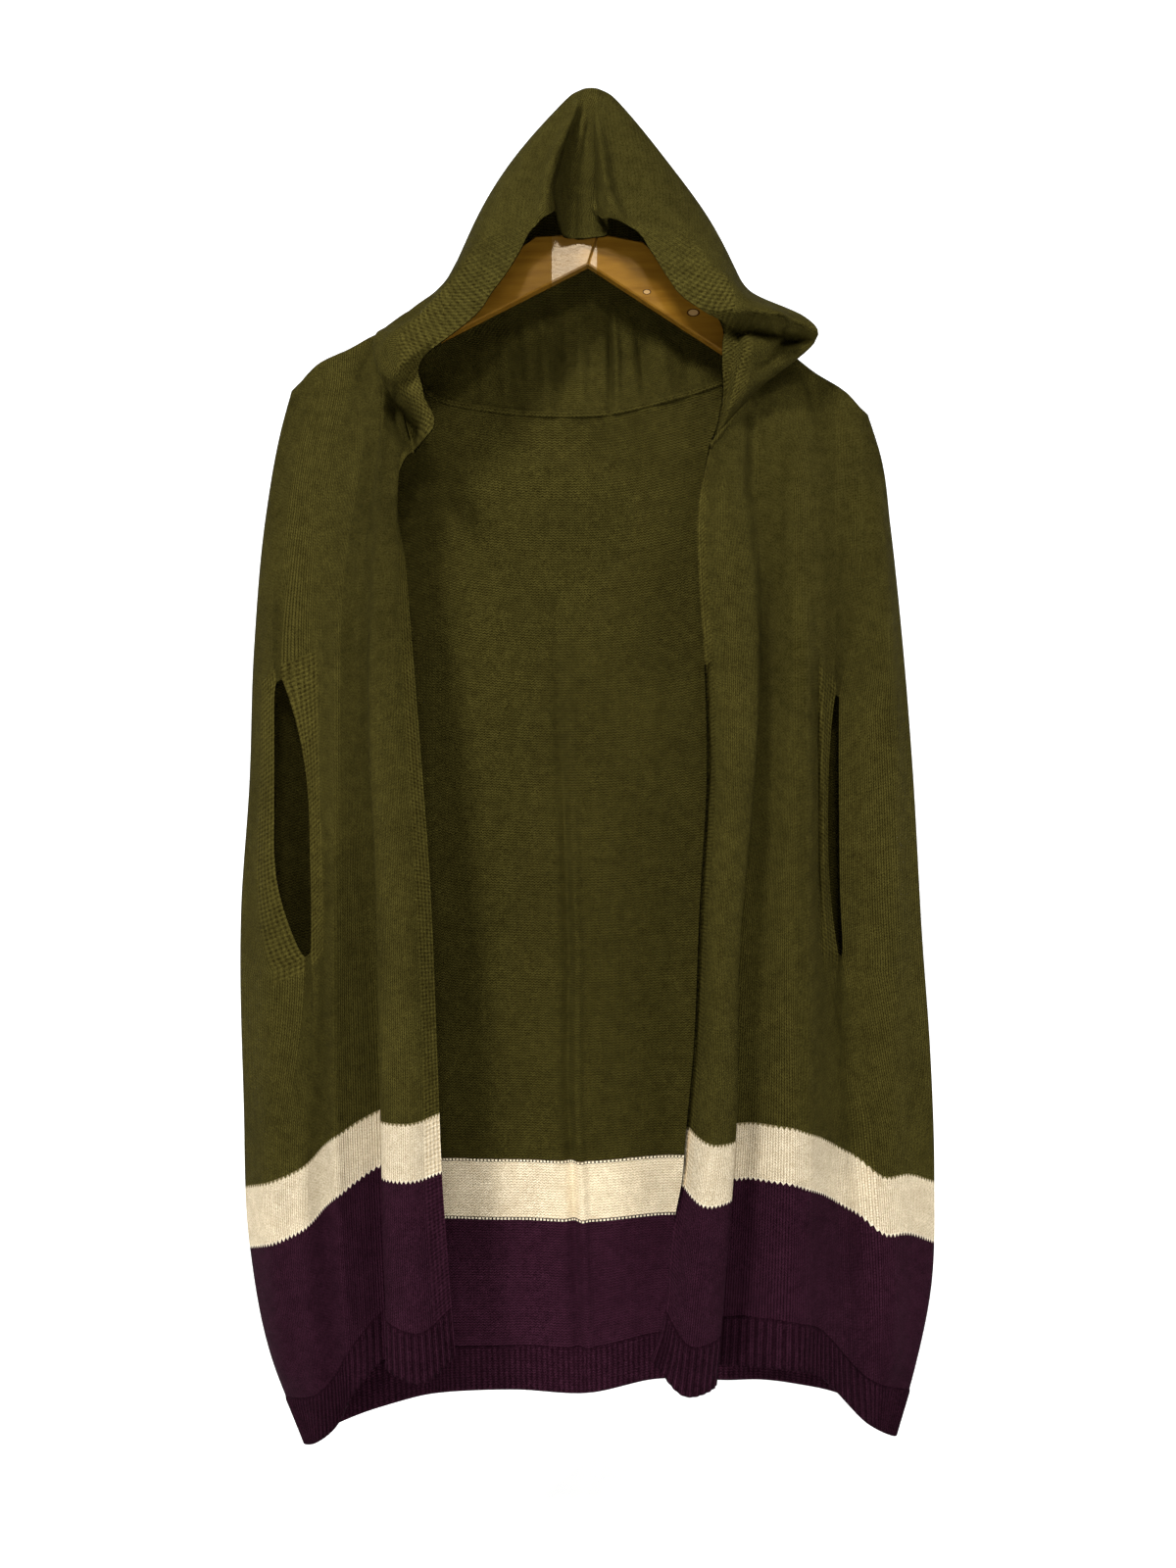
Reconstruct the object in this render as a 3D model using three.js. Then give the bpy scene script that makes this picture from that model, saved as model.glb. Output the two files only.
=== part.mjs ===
import * as THREE from 'three';

// Hooded knitted poncho hung on a wooden hanger. Millimetres, +Z up, the open front faces -Y.
// The origin is the inside top of the hook's crook, where a rail or peg carries the hanger.

// Driving dimensions
const clothThickness = 2.2;
const seamGap = 0.3;
const stripeHeight = 48;
const ribHeight = 38;
const ribPitch = 5;
const ribRelief = 0.8;

// Hanger and hook
const hangerArm = {
  length: 232, tipLength: 9, tipTurn: 60, thickness: 12, edgeRound: 1.2, leftAngle: 27, rightAngle: 33,
};
const hangerApex = { x: -2.4, z: -134.8 };
const mitreTop = { x: 5.5, z: -110 };
const armHeights = { along: [27, 60, 100, 135, 223], height: [39, 34, 28, 24, 24] };
const hook = { wire: 4, radius: 20, stemRound: 12, openAngle: 35, sides: 10, steps: 34 };
const hookCentre = { x: 0, z: -18 };

// Shares of a panel's height, counted down the cloth from its top seam
const stripeTop = 0.758;
const stripeBottom = 0.817;
const ribTop = 0.955;
const slitTop = 0.308;
const slitBottom = 0.562;
const courses = {
  olive: [0, 0.0072, 0.013, 0.026, 0.06, 0.11, 0.17, 0.24,
    slitTop, 0.37, 0.435, 0.5, slitBottom, 0.63, 0.695, stripeTop],
  cream: [stripeTop, stripeBottom],
  plum: [stripeBottom, 0.86, 0.91, ribTop],
  rib: [ribTop, 1],
};

// How the cloth rolls over the top edge of a hanger arm: cloth length, reach to one side, drop
const armRoll = { cloth: [0, 6, 10.8, 21.8], reach: [0, 6, 8.6, 9.2], drop: [0, 0.15, 4.2, 15.2] };
const rollExtra = 6.6;

// Lines that run down the cloth, in the order in which they lie round the body.
// Each names its height at the top seam, at the stripe's upper edge and at the hem, some also
// how tall the stripe stands there,
// then where it runs: height, place across and depth. A rolled line starts over a hanger arm.
const leftFront = [
  { name: 'edge', top: -286, stripe: -800, tall: 44, hem: -986,
    z: [-286, -311, -382, -534, -610, -759, -852, -908, -986],
    x: [-140, -150, -144, -131, -125, -118, -114, -110, -104],
    y: [-38, -40, -42, -46, -48, -50, -52, -52, -52] },
  { name: 'strip', top: -262, stripe: -805, tall: 43, hem: -1001,
    z: [-262, -382, -534, -610, -759, -852, -1001],
    x: [-147, -154, -149, -144, -137, -136, -128],
    y: [-34, -50, -60, -66, -72, -74, -74] },
  { name: 'fold', top: -240, stripe: -806, tall: 43, hem: -996,
    z: [-240, -382, -534, -610, -759, -852, -996],
    x: [-151, -164, -167, -164, -161, -159, -155],
    y: [-28, -50, -57, -58, -58, -58, -58] },
  { name: 'tuck', top: -215, stripe: -803, tall: 43, hem: -1000,
    z: [-215, -226, -300, -382, -534, -610, -759, -852, -1000],
    x: [-152, -157, -164, -171, -170, -161, -147, -140, -134],
    y: [-18, -22, -36, -42, -40, -32, -24, -22, -24] },
  { name: 'inner', top: -182, stripe: -807, tall: 43, hem: -1001,
    z: [-182, -191, -204, -300, -382, -534, -610, -759, -852, -1001],
    x: [-150.5, -156, -159, -170, -180, -179, -176, -168, -165, -158],
    y: [-6.8, -10, -14, -30, -38, -32, -24, -13, -10, -12] },
  { name: 'ridge', top: -181.2, stripe: -821, tall: 46, hem: -1026, rolled: true,
    z: [-181.2, -196, -300, -382, -534, -610, -759, -852, -1005],
    x: [-150, -164, -180, -191, -195, -196, -197, -195, -186],
    y: [-9.2, -9.2, -28, -36, -38, -36, -31, -28, -28] },
  { name: 'trough', top: -201.6, stripe: -832, hem: -1051, rolled: true,
    z: [-201.6, -217, -300, -382, -534, -640, -759, -852, -1046],
    x: [-190, -191, -203, -211, -211, -208, -208, -210, -198],
    y: [-9.2, -9.2, -20, -27, -33, -34, -33, -32, -26] },
  { name: 'slit', top: -216, stripe: -847, hem: -1066, rolled: true,
    z: [-216, -231, -300, -382, -473, -505, -560, -612, -660, -700, -852, -1066],
    x: [-218, -221, -235, -243, -244, -238, -229, -226, -222, -219, -225, -214],
    y: [-9.2, -9.2, -15, -20, -22, -24, -28, -32, -34, -35, -36, -24] },
];

const leftSide = { name: 'side', top: -235, stripe: -872, hem: -1077,
  z: [-235, -269, -332, -442, -547, -651, -808, -920, -1005, -1077],
  x: [-239, -248, -259, -269, -273, -280, -278, -273, -257, -229],
  y: [0, 0, 0, 1, 2, 3, 4, 4, 4, 4] };

const back = [
  { name: 'shoulderL', top: -216, stripe: -868, hem: -1075, rolled: true,
    z: [-216, -231, -400, -700, -1075],
    x: [-218, -221, -240, -246, -214],
    y: [9.2, 9.2, 20, 28, 26] },
  { name: 'bladeL', top: -201.6, stripe: -862, hem: -1068, rolled: true,
    z: [-201.6, -217, -400, -700, -1068],
    x: [-190, -191, -203, -208, -190],
    y: [9.2, 9.2, 27, 37, 36] },
  { name: 'neckL', top: -181.2, stripe: -860, hem: -1060, rolled: true,
    z: [-181.2, -196, -400, -700, -1060],
    x: [-150, -163, -173, -174, -158],
    y: [9.2, 9.2, 26, 34, 42] },
  { name: 'napeL', top: -182, stripe: -859, hem: -1056,
    z: [-182, -196, -400, -700, -1056],
    x: [-150.5, -154, -152, -150, -138],
    y: [6.8, 11, 28, 36, 45] },
  { name: 'quarterL', top: -228, stripe: -858, hem: -1052,
    z: [-228, -400, -700, -1052],
    x: [-133, -122, -122, -114],
    y: [18, 30, 39, 42] },
  { name: 'middleL', top: -243, stripe: -857, hem: -1048,
    z: [-243, -400, -700, -1048],
    x: [-78, -72, -72, -62],
    y: [19, 30, 36, 36] },
  { name: 'centre', top: -246, stripe: -859, hem: -1050,
    z: [-246, -420, -535, -690, -805, -920, -1050],
    x: [6, -12, -17, -13, -14, -6, -3],
    y: [20, 29, 34, 35, 34, 33, 34] },
  { name: 'middleR', top: -240, stripe: -857, hem: -1042,
    z: [-240, -400, -700, -1042],
    x: [40, 45, 52, 54],
    y: [19, 31, 39, 43] },
  { name: 'quarterR', top: -222, stripe: -857, hem: -1041,
    z: [-222, -400, -700, -1039],
    x: [103, 106, 112, 112],
    y: [17, 31, 37, 38] },
  { name: 'napeR', top: -199.8, stripe: -859, hem: -1042,
    z: [-199.8, -215, -400, -700, -1040],
    x: [143.5, 142, 132, 142, 140],
    y: [6.8, 11, 28, 35, 42] },
  { name: 'neckR', top: -199, stripe: -860, hem: -1046, rolled: true,
    z: [-199, -214, -400, -700, -1040],
    x: [143, 153, 162, 169, 168],
    y: [9.2, 9.2, 26, 36, 44] },
  { name: 'bladeR', top: -221.8, stripe: -864, hem: -1051, rolled: true,
    z: [-221.8, -237, -400, -700, -1048],
    x: [178, 180, 197, 213, 204],
    y: [9.2, 9.2, 26, 34, 36] },
  { name: 'shoulderR', top: -238, stripe: -867, hem: -1060, rolled: true,
    z: [-238, -253, -400, -700, -1062],
    x: [203, 206, 228, 248, 228],
    y: [9.2, 9.2, 18, 26, 24] },
];

const rightSide = { name: 'side', top: -254, stripe: -868, hem: -1072,
  z: [-254, -290, -343, -437, -534, -671, -769, -867, -957, -1020, -1072],
  x: [221, 232, 239, 249, 257, 265, 272, 275, 272, 259, 244],
  y: [0, 0, 0, 1, 2, 3, 4, 4, 4, 4, 4] };

const rightFront = [
  { name: 'slit', top: -238, stripe: -843, tall: 46, hem: -1058, rolled: true,
    z: [-238, -253, -330, -418, -478, -572, -640, -680, -784, -842, -940, -1054],
    x: [203, 206, 205, 201, 194, 191, 193, 197, 203, 209, 216, 221],
    y: [-9.2, -9.2, -16, -19, -20, -18, -16, -14, -13, -12, -12, -12] },
  { name: 'trough', top: -221.8, stripe: -822, tall: 43, hem: -1010, rolled: true,
    z: [-221.8, -237, -330, -478, -680, -842, -1010],
    x: [178, 180, 179, 173, 172, 176, 176],
    y: [-9.2, -9.2, -29, -40, -41, -38, -34] },
  { name: 'ridge', top: -199, stripe: -815, tall: 43, hem: -1003, rolled: true,
    z: [-199, -214, -330, -478, -680, -842, -1003],
    x: [143, 155, 157, 157, 155, 157, 154],
    y: [-9.2, -9.2, -38, -46, -46, -44, -42] },
  { name: 'inner', top: -199.8, stripe: -814, tall: 43, hem: -1003,
    z: [-199.8, -217, -330, -478, -680, -842, -1003],
    x: [143.5, 146, 147, 145, 132, 124, 116],
    y: [-6.8, -12, -34, -40, -36, -32, -32] },
  { name: 'tuck', top: -225, stripe: -815, tall: 43, hem: -1003,
    z: [-225, -310, -398, -534, -684, -807, -870, -1003],
    x: [134, 128, 133, 124, 98, 90, 86, 76],
    y: [-18, -36, -44, -42, -38, -36, -36, -36] },
  { name: 'fold', top: -245, stripe: -820, tall: 44, hem: -1007,
    z: [-245, -310, -398, -474, -534, -684, -807, -870, -956, -1007],
    x: [124, 116, 122, 126, 124, 112, 110, 106, 99, 94],
    y: [-28, -46, -56, -58, -60, -62, -62, -62, -62, -62] },
  { name: 'strip', top: -265, stripe: -820, tall: 46, hem: -1010,
    z: [-265, -335, -421, -534, -684, -807, -889, -1010],
    x: [108, 100, 104, 106, 98, 92, 84, 71],
    y: [-36, -52, -60, -66, -72, -76, -76, -76] },
  { name: 'edge', top: -286, stripe: -812, tall: 44, hem: -990,
    z: [-286, -335, -383, -459, -534, -647, -758, -811, -856, -889, -975, -990],
    x: [92, 83, 83, 88, 90, 84, 79, 74, 70, 63, 52, 46],
    y: [-44, -45, -48, -50, -50, -52, -54, -54, -54, -54, -54, -54] },
];

// Lines that run down the hood from its ridge over the hook to the neck seam, from the
// front centre seam round the left side to the back seam, then round the right side.
const hoodPleatLeft = [
  { name: 'frontSeam', z: [7, 2.5, -20, -60, -118], x: [0, -1, -3, -8, -11], y: [0, -4.2, -12, -16, -19] },
  { name: 'pleat', z: [7, 2.3, -20, -60, -118], x: [-3, -4, -10, -18, -22], y: [0, -4.2, -13, -20, -23] },
];
const hoodLeft = [
  { name: 'brim',
    z: [6.5, 1.5, -30, -61, -90, -109, -120, -140, -157, -174, -184, -210, -222, -248, -282, -286],
    x: [-5, -7, -16, -25, -31, -31, -44, -55, -65, -77, -83, -112, -129, -129, -131, -140],
    y: [0, -4.4, -22, -30, -38, -42, -46, -50, -52, -54, -55, -58, -58, -50, -42, -38] },
  { name: 'face',
    z: [3.8, -1, -30, -61, -109, -157, -190, -215, -238, -251],
    x: [-12, -15, -32, -50, -68, -98, -130, -158, -160, -150],
    y: [0, -4.6, -20, -32, -44, -52, -56, -58, -50, -31] },
  { name: 'flare',
    z: [-1, -6, -30, -61, -109, -157, -176, -186, -195, -205, -215],
    x: [-18, -22, -41, -63, -89, -110, -125, -142, -164, -161, -152],
    y: [0, -4.6, -13, -20, -28, -33, -35, -37, -38, -30, -18] },
  { name: 'side',
    z: [-7.4, -14, -30, -52, -73, -104, -133, -157, -171, -181.2],
    x: [-22.7, -30, -45, -63, -76, -93, -106, -122, -141, -150],
    y: [0, 0, 0, -1, -2, -2, -2, -1, 0, 0] },
  { name: 'rearSide',
    z: [0.7, -5, -30, -61, -109, -157, -200, -228],
    x: [-16, -20, -42, -62, -84, -104, -122, -133],
    y: [0, 4.6, 12, 20, 26, 27, 24, 18] },
  { name: 'rear',
    z: [4.9, 0, -30, -61, -109, -157, -200, -243],
    x: [-10, -12, -24, -36, -48, -58, -68, -78],
    y: [0, 4.6, 16, 26, 36, 36, 30, 19] },
];
const hoodBackSeam = { name: 'backSeam',
  z: [7, 2.5, -30, -61, -109, -157, -200, -246],
  x: [0, 0, 0, 1, 2, 4, 5, 6],
  y: [0, 4.2, 18, 30, 42, 42, 34, 20] };
const hoodRight = [
  { name: 'rear',
    z: [4.9, 0, -30, -61, -109, -157, -200, -240],
    x: [10, 12, 22, 33, 43, 46, 44, 40],
    y: [0, 4.6, 16, 26, 36, 36, 30, 19] },
  { name: 'rearSide',
    z: [0.7, -5, -30, -61, -109, -157, -195, -222],
    x: [16, 20, 36, 57, 84, 99, 103, 103],
    y: [0, 4.6, 12, 20, 26, 27, 23, 17] },
  { name: 'side',
    z: [-7.4, -14, -21, -45, -68, -96, -123, -143, -157, -180, -199],
    x: [22.7, 28, 34, 53, 71, 92, 106, 115, 120, 131, 143],
    y: [0, 0, 0, -1, -2, -2, -2, -2, -1, 0, 0] },
  { name: 'flare',
    z: [-1, -6, -30, -61, -109, -143, -160, -173, -183, -193, -203, -215, -225],
    x: [18, 22, 40, 60, 90, 106, 113, 128, 149, 167, 174, 160, 134],
    y: [0, -4.6, -12, -18, -28, -33, -36, -39, -42, -44, -46, -34, -18] },
  { name: 'face',
    z: [3.8, -1, -30, -61, -109, -159, -187, -203, -212, -240, -255],
    x: [12, 15, 25, 37, 58, 92, 122, 145, 143, 126, 116],
    y: [0, -4.6, -20, -30, -42, -52, -60, -64, -52, -44, -32] },
  { name: 'brim',
    z: [6.5, 1.5, -30, -52, -82, -108, -118, -138, -159, -175, -185, -192, -198, -206, -257, -280, -286],
    x: [5, 5, 3, 4, 5, 9, 30, 46, 59, 71, 85, 99, 103, 102, 101, 95, 92],
    y: [0, -4.4, -18, -24, -32, -38, -42, -46, -48, -50, -52, -54, -51, -48, -46, -44, -44] },
];
const hoodPleatRight = [
  { name: 'pleat', z: [7, 2.3, -20, -60, -118], x: [3, 4, 7, 12, 13], y: [0, -4.2, -13, -20, -22] },
  { name: 'frontSeam', z: [7, 2.5, -20, -60, -118], x: [0, -1, -3, -8, -11], y: [0, -4.2, -12, -16, -19] },
];
const pleatBottom = 0.385;
const hoodRows = [0, 0.012, 0.05, 0.11, 0.18, 0.25, 0.32, pleatBottom,
  0.45, 0.53, 0.61, 0.69, 0.77, 0.85, 0.92, 1];
const ridge = { radius: 25, endAngle: 65, cells: 11 };

// Numbers

const radians = (degrees) => degrees * Math.PI / 180;
const mix = (a, b, share) => a + (b - a) * share;

// Straight-line reading of a table of ascending places.
function readLine(places, values, place) {
  let k = 0;
  while (k < places.length - 2 && place > places[k + 1]) k += 1;
  const share = (place - places[k]) / (places[k + 1] - places[k]);
  return mix(values[k], values[k + 1], THREE.MathUtils.clamp(share, 0, 1));
}

// Smooth reading of a table whose heights run downwards.
function readSmooth(heights, values, height) {
  const last = heights.length - 1;
  if (height >= heights[0]) return values[0];
  if (height <= heights[last]) return values[last];
  let k = 0;
  while (height < heights[k + 1]) k += 1;
  const slope = (i) => (values[i + 1] - values[i]) / (heights[i + 1] - heights[i]);
  const tangent = (i) => {
    if (i === 0) return slope(0);
    if (i === last) return slope(last - 1);
    const before = heights[i] - heights[i - 1];
    const after = heights[i + 1] - heights[i];
    return (slope(i - 1) * after + slope(i) * before) / (before + after);
  };
  const span = heights[k + 1] - heights[k];
  const t = (height - heights[k]) / span;
  const bend = (1 - t) * (1 - t);
  return values[k] * (1 + 2 * t) * bend + tangent(k) * span * t * bend
    + values[k + 1] * t * t * (3 - 2 * t) + tangent(k + 1) * span * t * t * (t - 1);
}

// Places on the lines

// Height on a line at a share of the cloth's height; the stripe and the rib keep their own heights.
function lineHeight(line, share) {
  const roll = line.rolled ? rollExtra : 0;
  const toStripe = line.top - line.stripe + roll;
  const toHem = line.top - line.hem + roll;
  const marks = [0, stripeTop, stripeBottom, ribTop, 1];
  const drops = [0, toStripe, toStripe + (line.tall ?? stripeHeight), toHem - ribHeight, toHem];
  return readLine(marks, drops, share);
}

function bodyLinePoint(line, share) {
  const cloth = lineHeight(line, share);
  const rolling = line.rolled && cloth < armRoll.cloth.at(-1);
  if (rolling) {
    const side = Math.sign(line.y[0]);
    const reach = side * readLine(armRoll.cloth, armRoll.reach, cloth);
    const z = line.top - readLine(armRoll.cloth, armRoll.drop, cloth);
    const rollEnd = readSmooth(line.z, line.x, line.top - armRoll.drop.at(-1));
    return new THREE.Vector3(mix(line.x[0], rollEnd, cloth / armRoll.cloth.at(-1)), reach, z);
  }
  const z = line.top - cloth + (line.rolled ? rollExtra : 0);
  return new THREE.Vector3(readSmooth(line.z, line.x, z), readSmooth(line.z, line.y, z), z);
}

function hoodLinePoint(line, share) {
  const z = mix(line.z[0], line.z.at(-1), share);
  return new THREE.Vector3(readSmooth(line.z, line.x, z), readSmooth(line.z, line.y, z), z);
}

// The cloth's middle surface

const bodyLines = [...leftFront, leftSide, ...back, rightSide, ...rightFront];
const hoodOpen = [...hoodLeft, hoodBackSeam, ...hoodRight];

function sectionCurve(points) {
  return new THREE.CatmullRomCurve3(points, false, 'centripetal');
}

function bodyRow(share, places) {
  const curve = sectionCurve(bodyLines.map((line) => bodyLinePoint(line, share)));
  return places.map((place) => curve.getPoint(place / (bodyLines.length - 1)));
}

// Half the gap between the two columns that border an arm slit, in line spacings, and
// the share of the cloth over which it eases to its half at the shoulder.
const slitEase = 0.15;
const shoulderHalf = 0.24;
const leftSlit = { line: 7, closed: 0.07, widest: 0.37 };
const rightSlit = { line: 23, closed: 0.03, widest: 0.09, inner: 5.5, most: 0.5 };

function slitHalf(share, { closed, widest }) {
  if (share > slitTop && share < slitBottom) {
    const along = (share - slitTop) / (slitBottom - slitTop);
    return mix(closed, widest, Math.sin(Math.PI * along) ** 0.7);
  }
  const distance = share <= slitTop ? slitTop - share : share - slitBottom;
  return mix(closed, shoulderHalf, Math.min(1, distance / slitEase));
}

const spread = (from, to, cells) => Array.from({ length: cells + 1 }, (_, k) => mix(from, to, k / cells));
const joined = (...runs) => runs.flatMap((run, k) => (k ? run.slice(1) : run));

// Places along a section, one whole number for each line
const leftSidePlace = 8;
const rightSidePlace = 22;
const rightEdgePlace = 30;

function leftFrontPlaces(share) {
  const half = slitHalf(share, leftSlit);
  const [before, after] = [leftSlit.line - half, leftSlit.line + half];
  return joined(spread(0, 4, 8), spread(4, 5, 1), spread(5, 6, 2),
    [6, 6.5, before, after, mix(after, leftSidePlace, 0.5), leftSidePlace]);
}

function backPlaces() {
  const shoulders = [[8, 8.5, 9 - shoulderHalf, 9 + shoulderHalf, 9.5, 10],
    [20, 20.5, 21 - shoulderHalf, 21 + shoulderHalf, 21.5, 22]];
  return joined(shoulders[0], spread(10, 11, 2), spread(11, 12, 1),
    spread(12, 13, 3), spread(13, 14, 3), spread(14, 15, 4), spread(15, 16, 4), spread(16, 17, 3),
    spread(17, 18, 3), spread(18, 19, 1), spread(19, 20, 2), shoulders[1]);
}

// The right slit's border on the strip's side opens much further than the other.
function rightFrontPlaces(share) {
  const half = slitHalf(share, rightSlit);
  const before = rightSlit.line - half;
  const after = rightSlit.line + Math.min(half * rightSlit.inner, rightSlit.most);
  return joined([rightSidePlace, mix(rightSidePlace, before, 0.5), before, after, mix(after, 24, 0.5), 24],
    spread(24, 25, 2), spread(25, 26, 1), spread(26, rightEdgePlace, 8));
}

const frontColumns = 17;
const slitCellLeft = 13;
const slitCellRight = 2;
const shoulderCells = 7;
const neckFrontCells = 9;

// Rows of points for each panel, top seam to hem. The back's shoulder takes the fronts' points,
// so that the panels meet stitch for stitch.
function bodyGrids() {
  const shares = joined(courses.olive, courses.cream, courses.plum, courses.rib);
  const left = shares.map((share) => bodyRow(share, leftFrontPlaces(share)));
  const right = shares.map((share) => bodyRow(share, rightFrontPlaces(share)));
  const rear = shares.map((share) => bodyRow(share, backPlaces()));
  const rearTop = rear[0];
  for (let k = 0; k <= shoulderCells; k += 1) {
    rearTop[k] = left[0][frontColumns - 1 - k].clone();
    rearTop[rearTop.length - 1 - k] = right[0][k].clone();
  }
  return { shares, left, right, rear };
}

function ridgePoint(side, step) {
  const angle = radians(ridge.endAngle * step / ridge.cells);
  const z = hookCentre.z + ridge.radius * Math.cos(angle);
  return new THREE.Vector3(hookCentre.x + side * ridge.radius * Math.sin(angle), 0, z);
}

function hoodRow(share) {
  const closed = share <= pleatBottom;
  const pleatShare = share / pleatBottom;
  const lower = hoodOpen.map((line) => hoodLinePoint(line, share));
  const before = closed ? hoodPleatLeft.map((line) => hoodLinePoint(line, pleatShare)) : [];
  const after = closed ? hoodPleatRight.map((line) => hoodLinePoint(line, pleatShare)) : [];
  const points = [...before, ...lower, ...after];
  const curve = sectionCurve(points);
  const at = (place) => curve.getPoint((place - (closed ? 0 : 2)) / (points.length - 1));
  const places = joined(spread(2, 5, 9), spread(5, 6, 4), spread(6, 7, 3), spread(7, 8, 4),
    spread(8, 9, 4), spread(9, 10, 3), spread(10, 11, 4), spread(11, 14, 9));
  const row = { main: places.map(at) };
  if (closed) Object.assign(row, { leftPleat: [0, 1, 2].map(at), rightPleat: [14, 15, 16].map(at) });
  return row;
}

function hoodGrids(body) {
  const rows = hoodRows.map(hoodRow);
  const top = rows[0];
  const half = neckFrontCells + ridge.cells;
  for (let k = 0; k <= ridge.cells; k += 1) {
    if (k >= 2) {
      top.main[k - 2] = ridgePoint(-1, k);
      top.main[2 * half - k + 2] = ridgePoint(1, k);
    } else {
      top.leftPleat[k] = ridgePoint(-1, k);
      top.rightPleat[2 - k] = ridgePoint(1, k);
    }
    top.main[half - k] = ridgePoint(-1, k);
    top.main[half + k] = ridgePoint(1, k);
  }
  top.leftPleat[2] = top.main[0].clone();
  top.rightPleat[0] = top.main[2 * half].clone();
  const neck = rows.at(-1).main;
  for (let k = 0; k <= neckFrontCells; k += 1) {
    neck[k] = body.left[0][k].clone();
    neck[2 * half - k] = body.right[0][frontColumns - 1 - k].clone();
  }
  for (let k = 0; k <= 2 * ridge.cells; k += 1) {
    neck[neckFrontCells + k] = body.rear[0][shoulderCells + k].clone();
  }
  return rows;
}

// Shared points and their averaged normals

const points = [];
const normals = [];
const lookup = new Map();

function pointIndex(position) {
  const key = [position.x, position.y, position.z].map((value) => Math.round(value * 1000)).join(' ');
  if (!lookup.has(key)) {
    lookup.set(key, points.length);
    points.push(position.clone());
    normals.push(new THREE.Vector3());
  }
  return lookup.get(key);
}

// Quads of a grid of rows, as indices of shared points, leaving out the cells that skip names.
function gridQuads(rows, skip = () => false) {
  const quads = [];
  for (let i = 0; i < rows.length - 1; i += 1) {
    for (let j = 0; j < rows[i].length - 1; j += 1) {
      if (skip(i, j)) continue;
      const corners = [rows[i][j], rows[i][j + 1], rows[i + 1][j + 1], rows[i + 1][j]];
      quads.push(corners.map(pointIndex));
    }
  }
  return quads;
}

// Two triangles of a quad, split along its shorter diagonal.
function quadTriangles([a, b, c, d], places) {
  const level = places[a].distanceTo(places[c]) <= places[b].distanceTo(places[d]);
  const triangles = level ? [[a, b, c], [a, c, d]] : [[a, b, d], [b, c, d]];
  return triangles.filter(([p, q, r]) => p !== q && q !== r && r !== p);
}

function addNormals(quads) {
  const u = new THREE.Vector3();
  const v = new THREE.Vector3();
  for (const [a, b, c] of quads.flatMap((quad) => quadTriangles(quad, points))) {
    u.subVectors(points[b], points[a]);
    v.subVectors(points[c], points[a]);
    u.cross(v);
    for (const corner of [a, b, c]) normals[corner].add(u);
  }
}

// Closed wall round a patch of quads. Its edges draw back by half the seam gap.
function clothWall(quads, places, directions, relief) {
  const triangles = quads.flatMap((quad) => quadTriangles(quad, places));
  const edges = new Map();
  for (const [a, b, c] of triangles) {
    for (const [from, to] of [[a, b], [b, c], [c, a]]) edges.set(`${from} ${to}`, [from, to]);
  }
  const border = [...edges.values()].filter(([from, to]) => !edges.has(`${to} ${from}`));
  const inward = new Map();
  for (const [from, to] of border) {
    const along = new THREE.Vector3().subVectors(places[to], places[from]);
    for (const corner of [from, to]) {
      const push = new THREE.Vector3().crossVectors(directions[corner], along).normalize();
      inward.set(corner, (inward.get(corner) ?? new THREE.Vector3()).add(push));
    }
  }
  const ids = new Map();
  const positions = [];
  const corner = (index, side) => {
    const key = `${index} ${side}`;
    if (!ids.has(key)) {
      const raised = side > 0 ? clothThickness / 2 + (relief[index] ?? 0) : -clothThickness / 2;
      const place = places[index].clone().addScaledVector(directions[index], raised);
      if (inward.has(index)) place.addScaledVector(inward.get(index).clone().normalize(), seamGap / 2);
      ids.set(key, positions.length / 3);
      positions.push(place.x, place.y, place.z);
    }
    return ids.get(key);
  };
  const index = [];
  for (const [a, b, c] of triangles) {
    index.push(corner(a, 1), corner(b, 1), corner(c, 1));
    index.push(corner(a, -1), corner(c, -1), corner(b, -1));
  }
  for (const [from, to] of border) {
    const [fromOut, fromIn] = [corner(from, 1), corner(from, -1)];
    const [toOut, toIn] = [corner(to, 1), corner(to, -1)];
    if (from < to) index.push(toOut, fromOut, fromIn, toOut, fromIn, toIn);
    else index.push(toOut, fromOut, toIn, fromOut, fromIn, toIn);
  }
  const geometry = new THREE.BufferGeometry();
  geometry.setAttribute('position', new THREE.Float32BufferAttribute(positions, 3));
  geometry.setIndex(index);
  geometry.computeVertexNormals();
  return geometry;
}

// The hem's quads cut into ribs: each second new column stands out on the outer face only.
function ribbedWall(quads) {
  const places = [];
  const directions = [];
  const relief = [];
  const known = new Map();
  const cut = (a, b, share, height) => {
    const key = share === 0 ? `${a}` : share === 1 ? `${b}` : `${a} ${b} ${share}`;
    if (!known.has(key)) {
      known.set(key, places.length);
      places.push(points[a].clone().lerp(points[b], share));
      directions.push(normals[a].clone().lerp(normals[b], share));
      relief.push(height);
    }
    return known.get(key);
  };
  const fine = [];
  for (const [a, b, c, d] of quads) {
    const width = points[d].distanceTo(points[c]);
    const columns = 2 * Math.max(1, Math.round(width / ribPitch));
    for (let k = 0; k < columns; k += 1) {
      const [low, high] = [k % 2, (k + 1) % 2].map((odd) => odd * ribRelief);
      const [from, to] = [k / columns, (k + 1) / columns];
      const upper = [cut(a, b, from, low), cut(a, b, to, high)];
      const lower = [cut(d, c, to, high), cut(d, c, from, low)];
      fine.push([...upper, ...lower]);
    }
  }
  return clothWall(fine, places, directions, relief);
}

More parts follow.
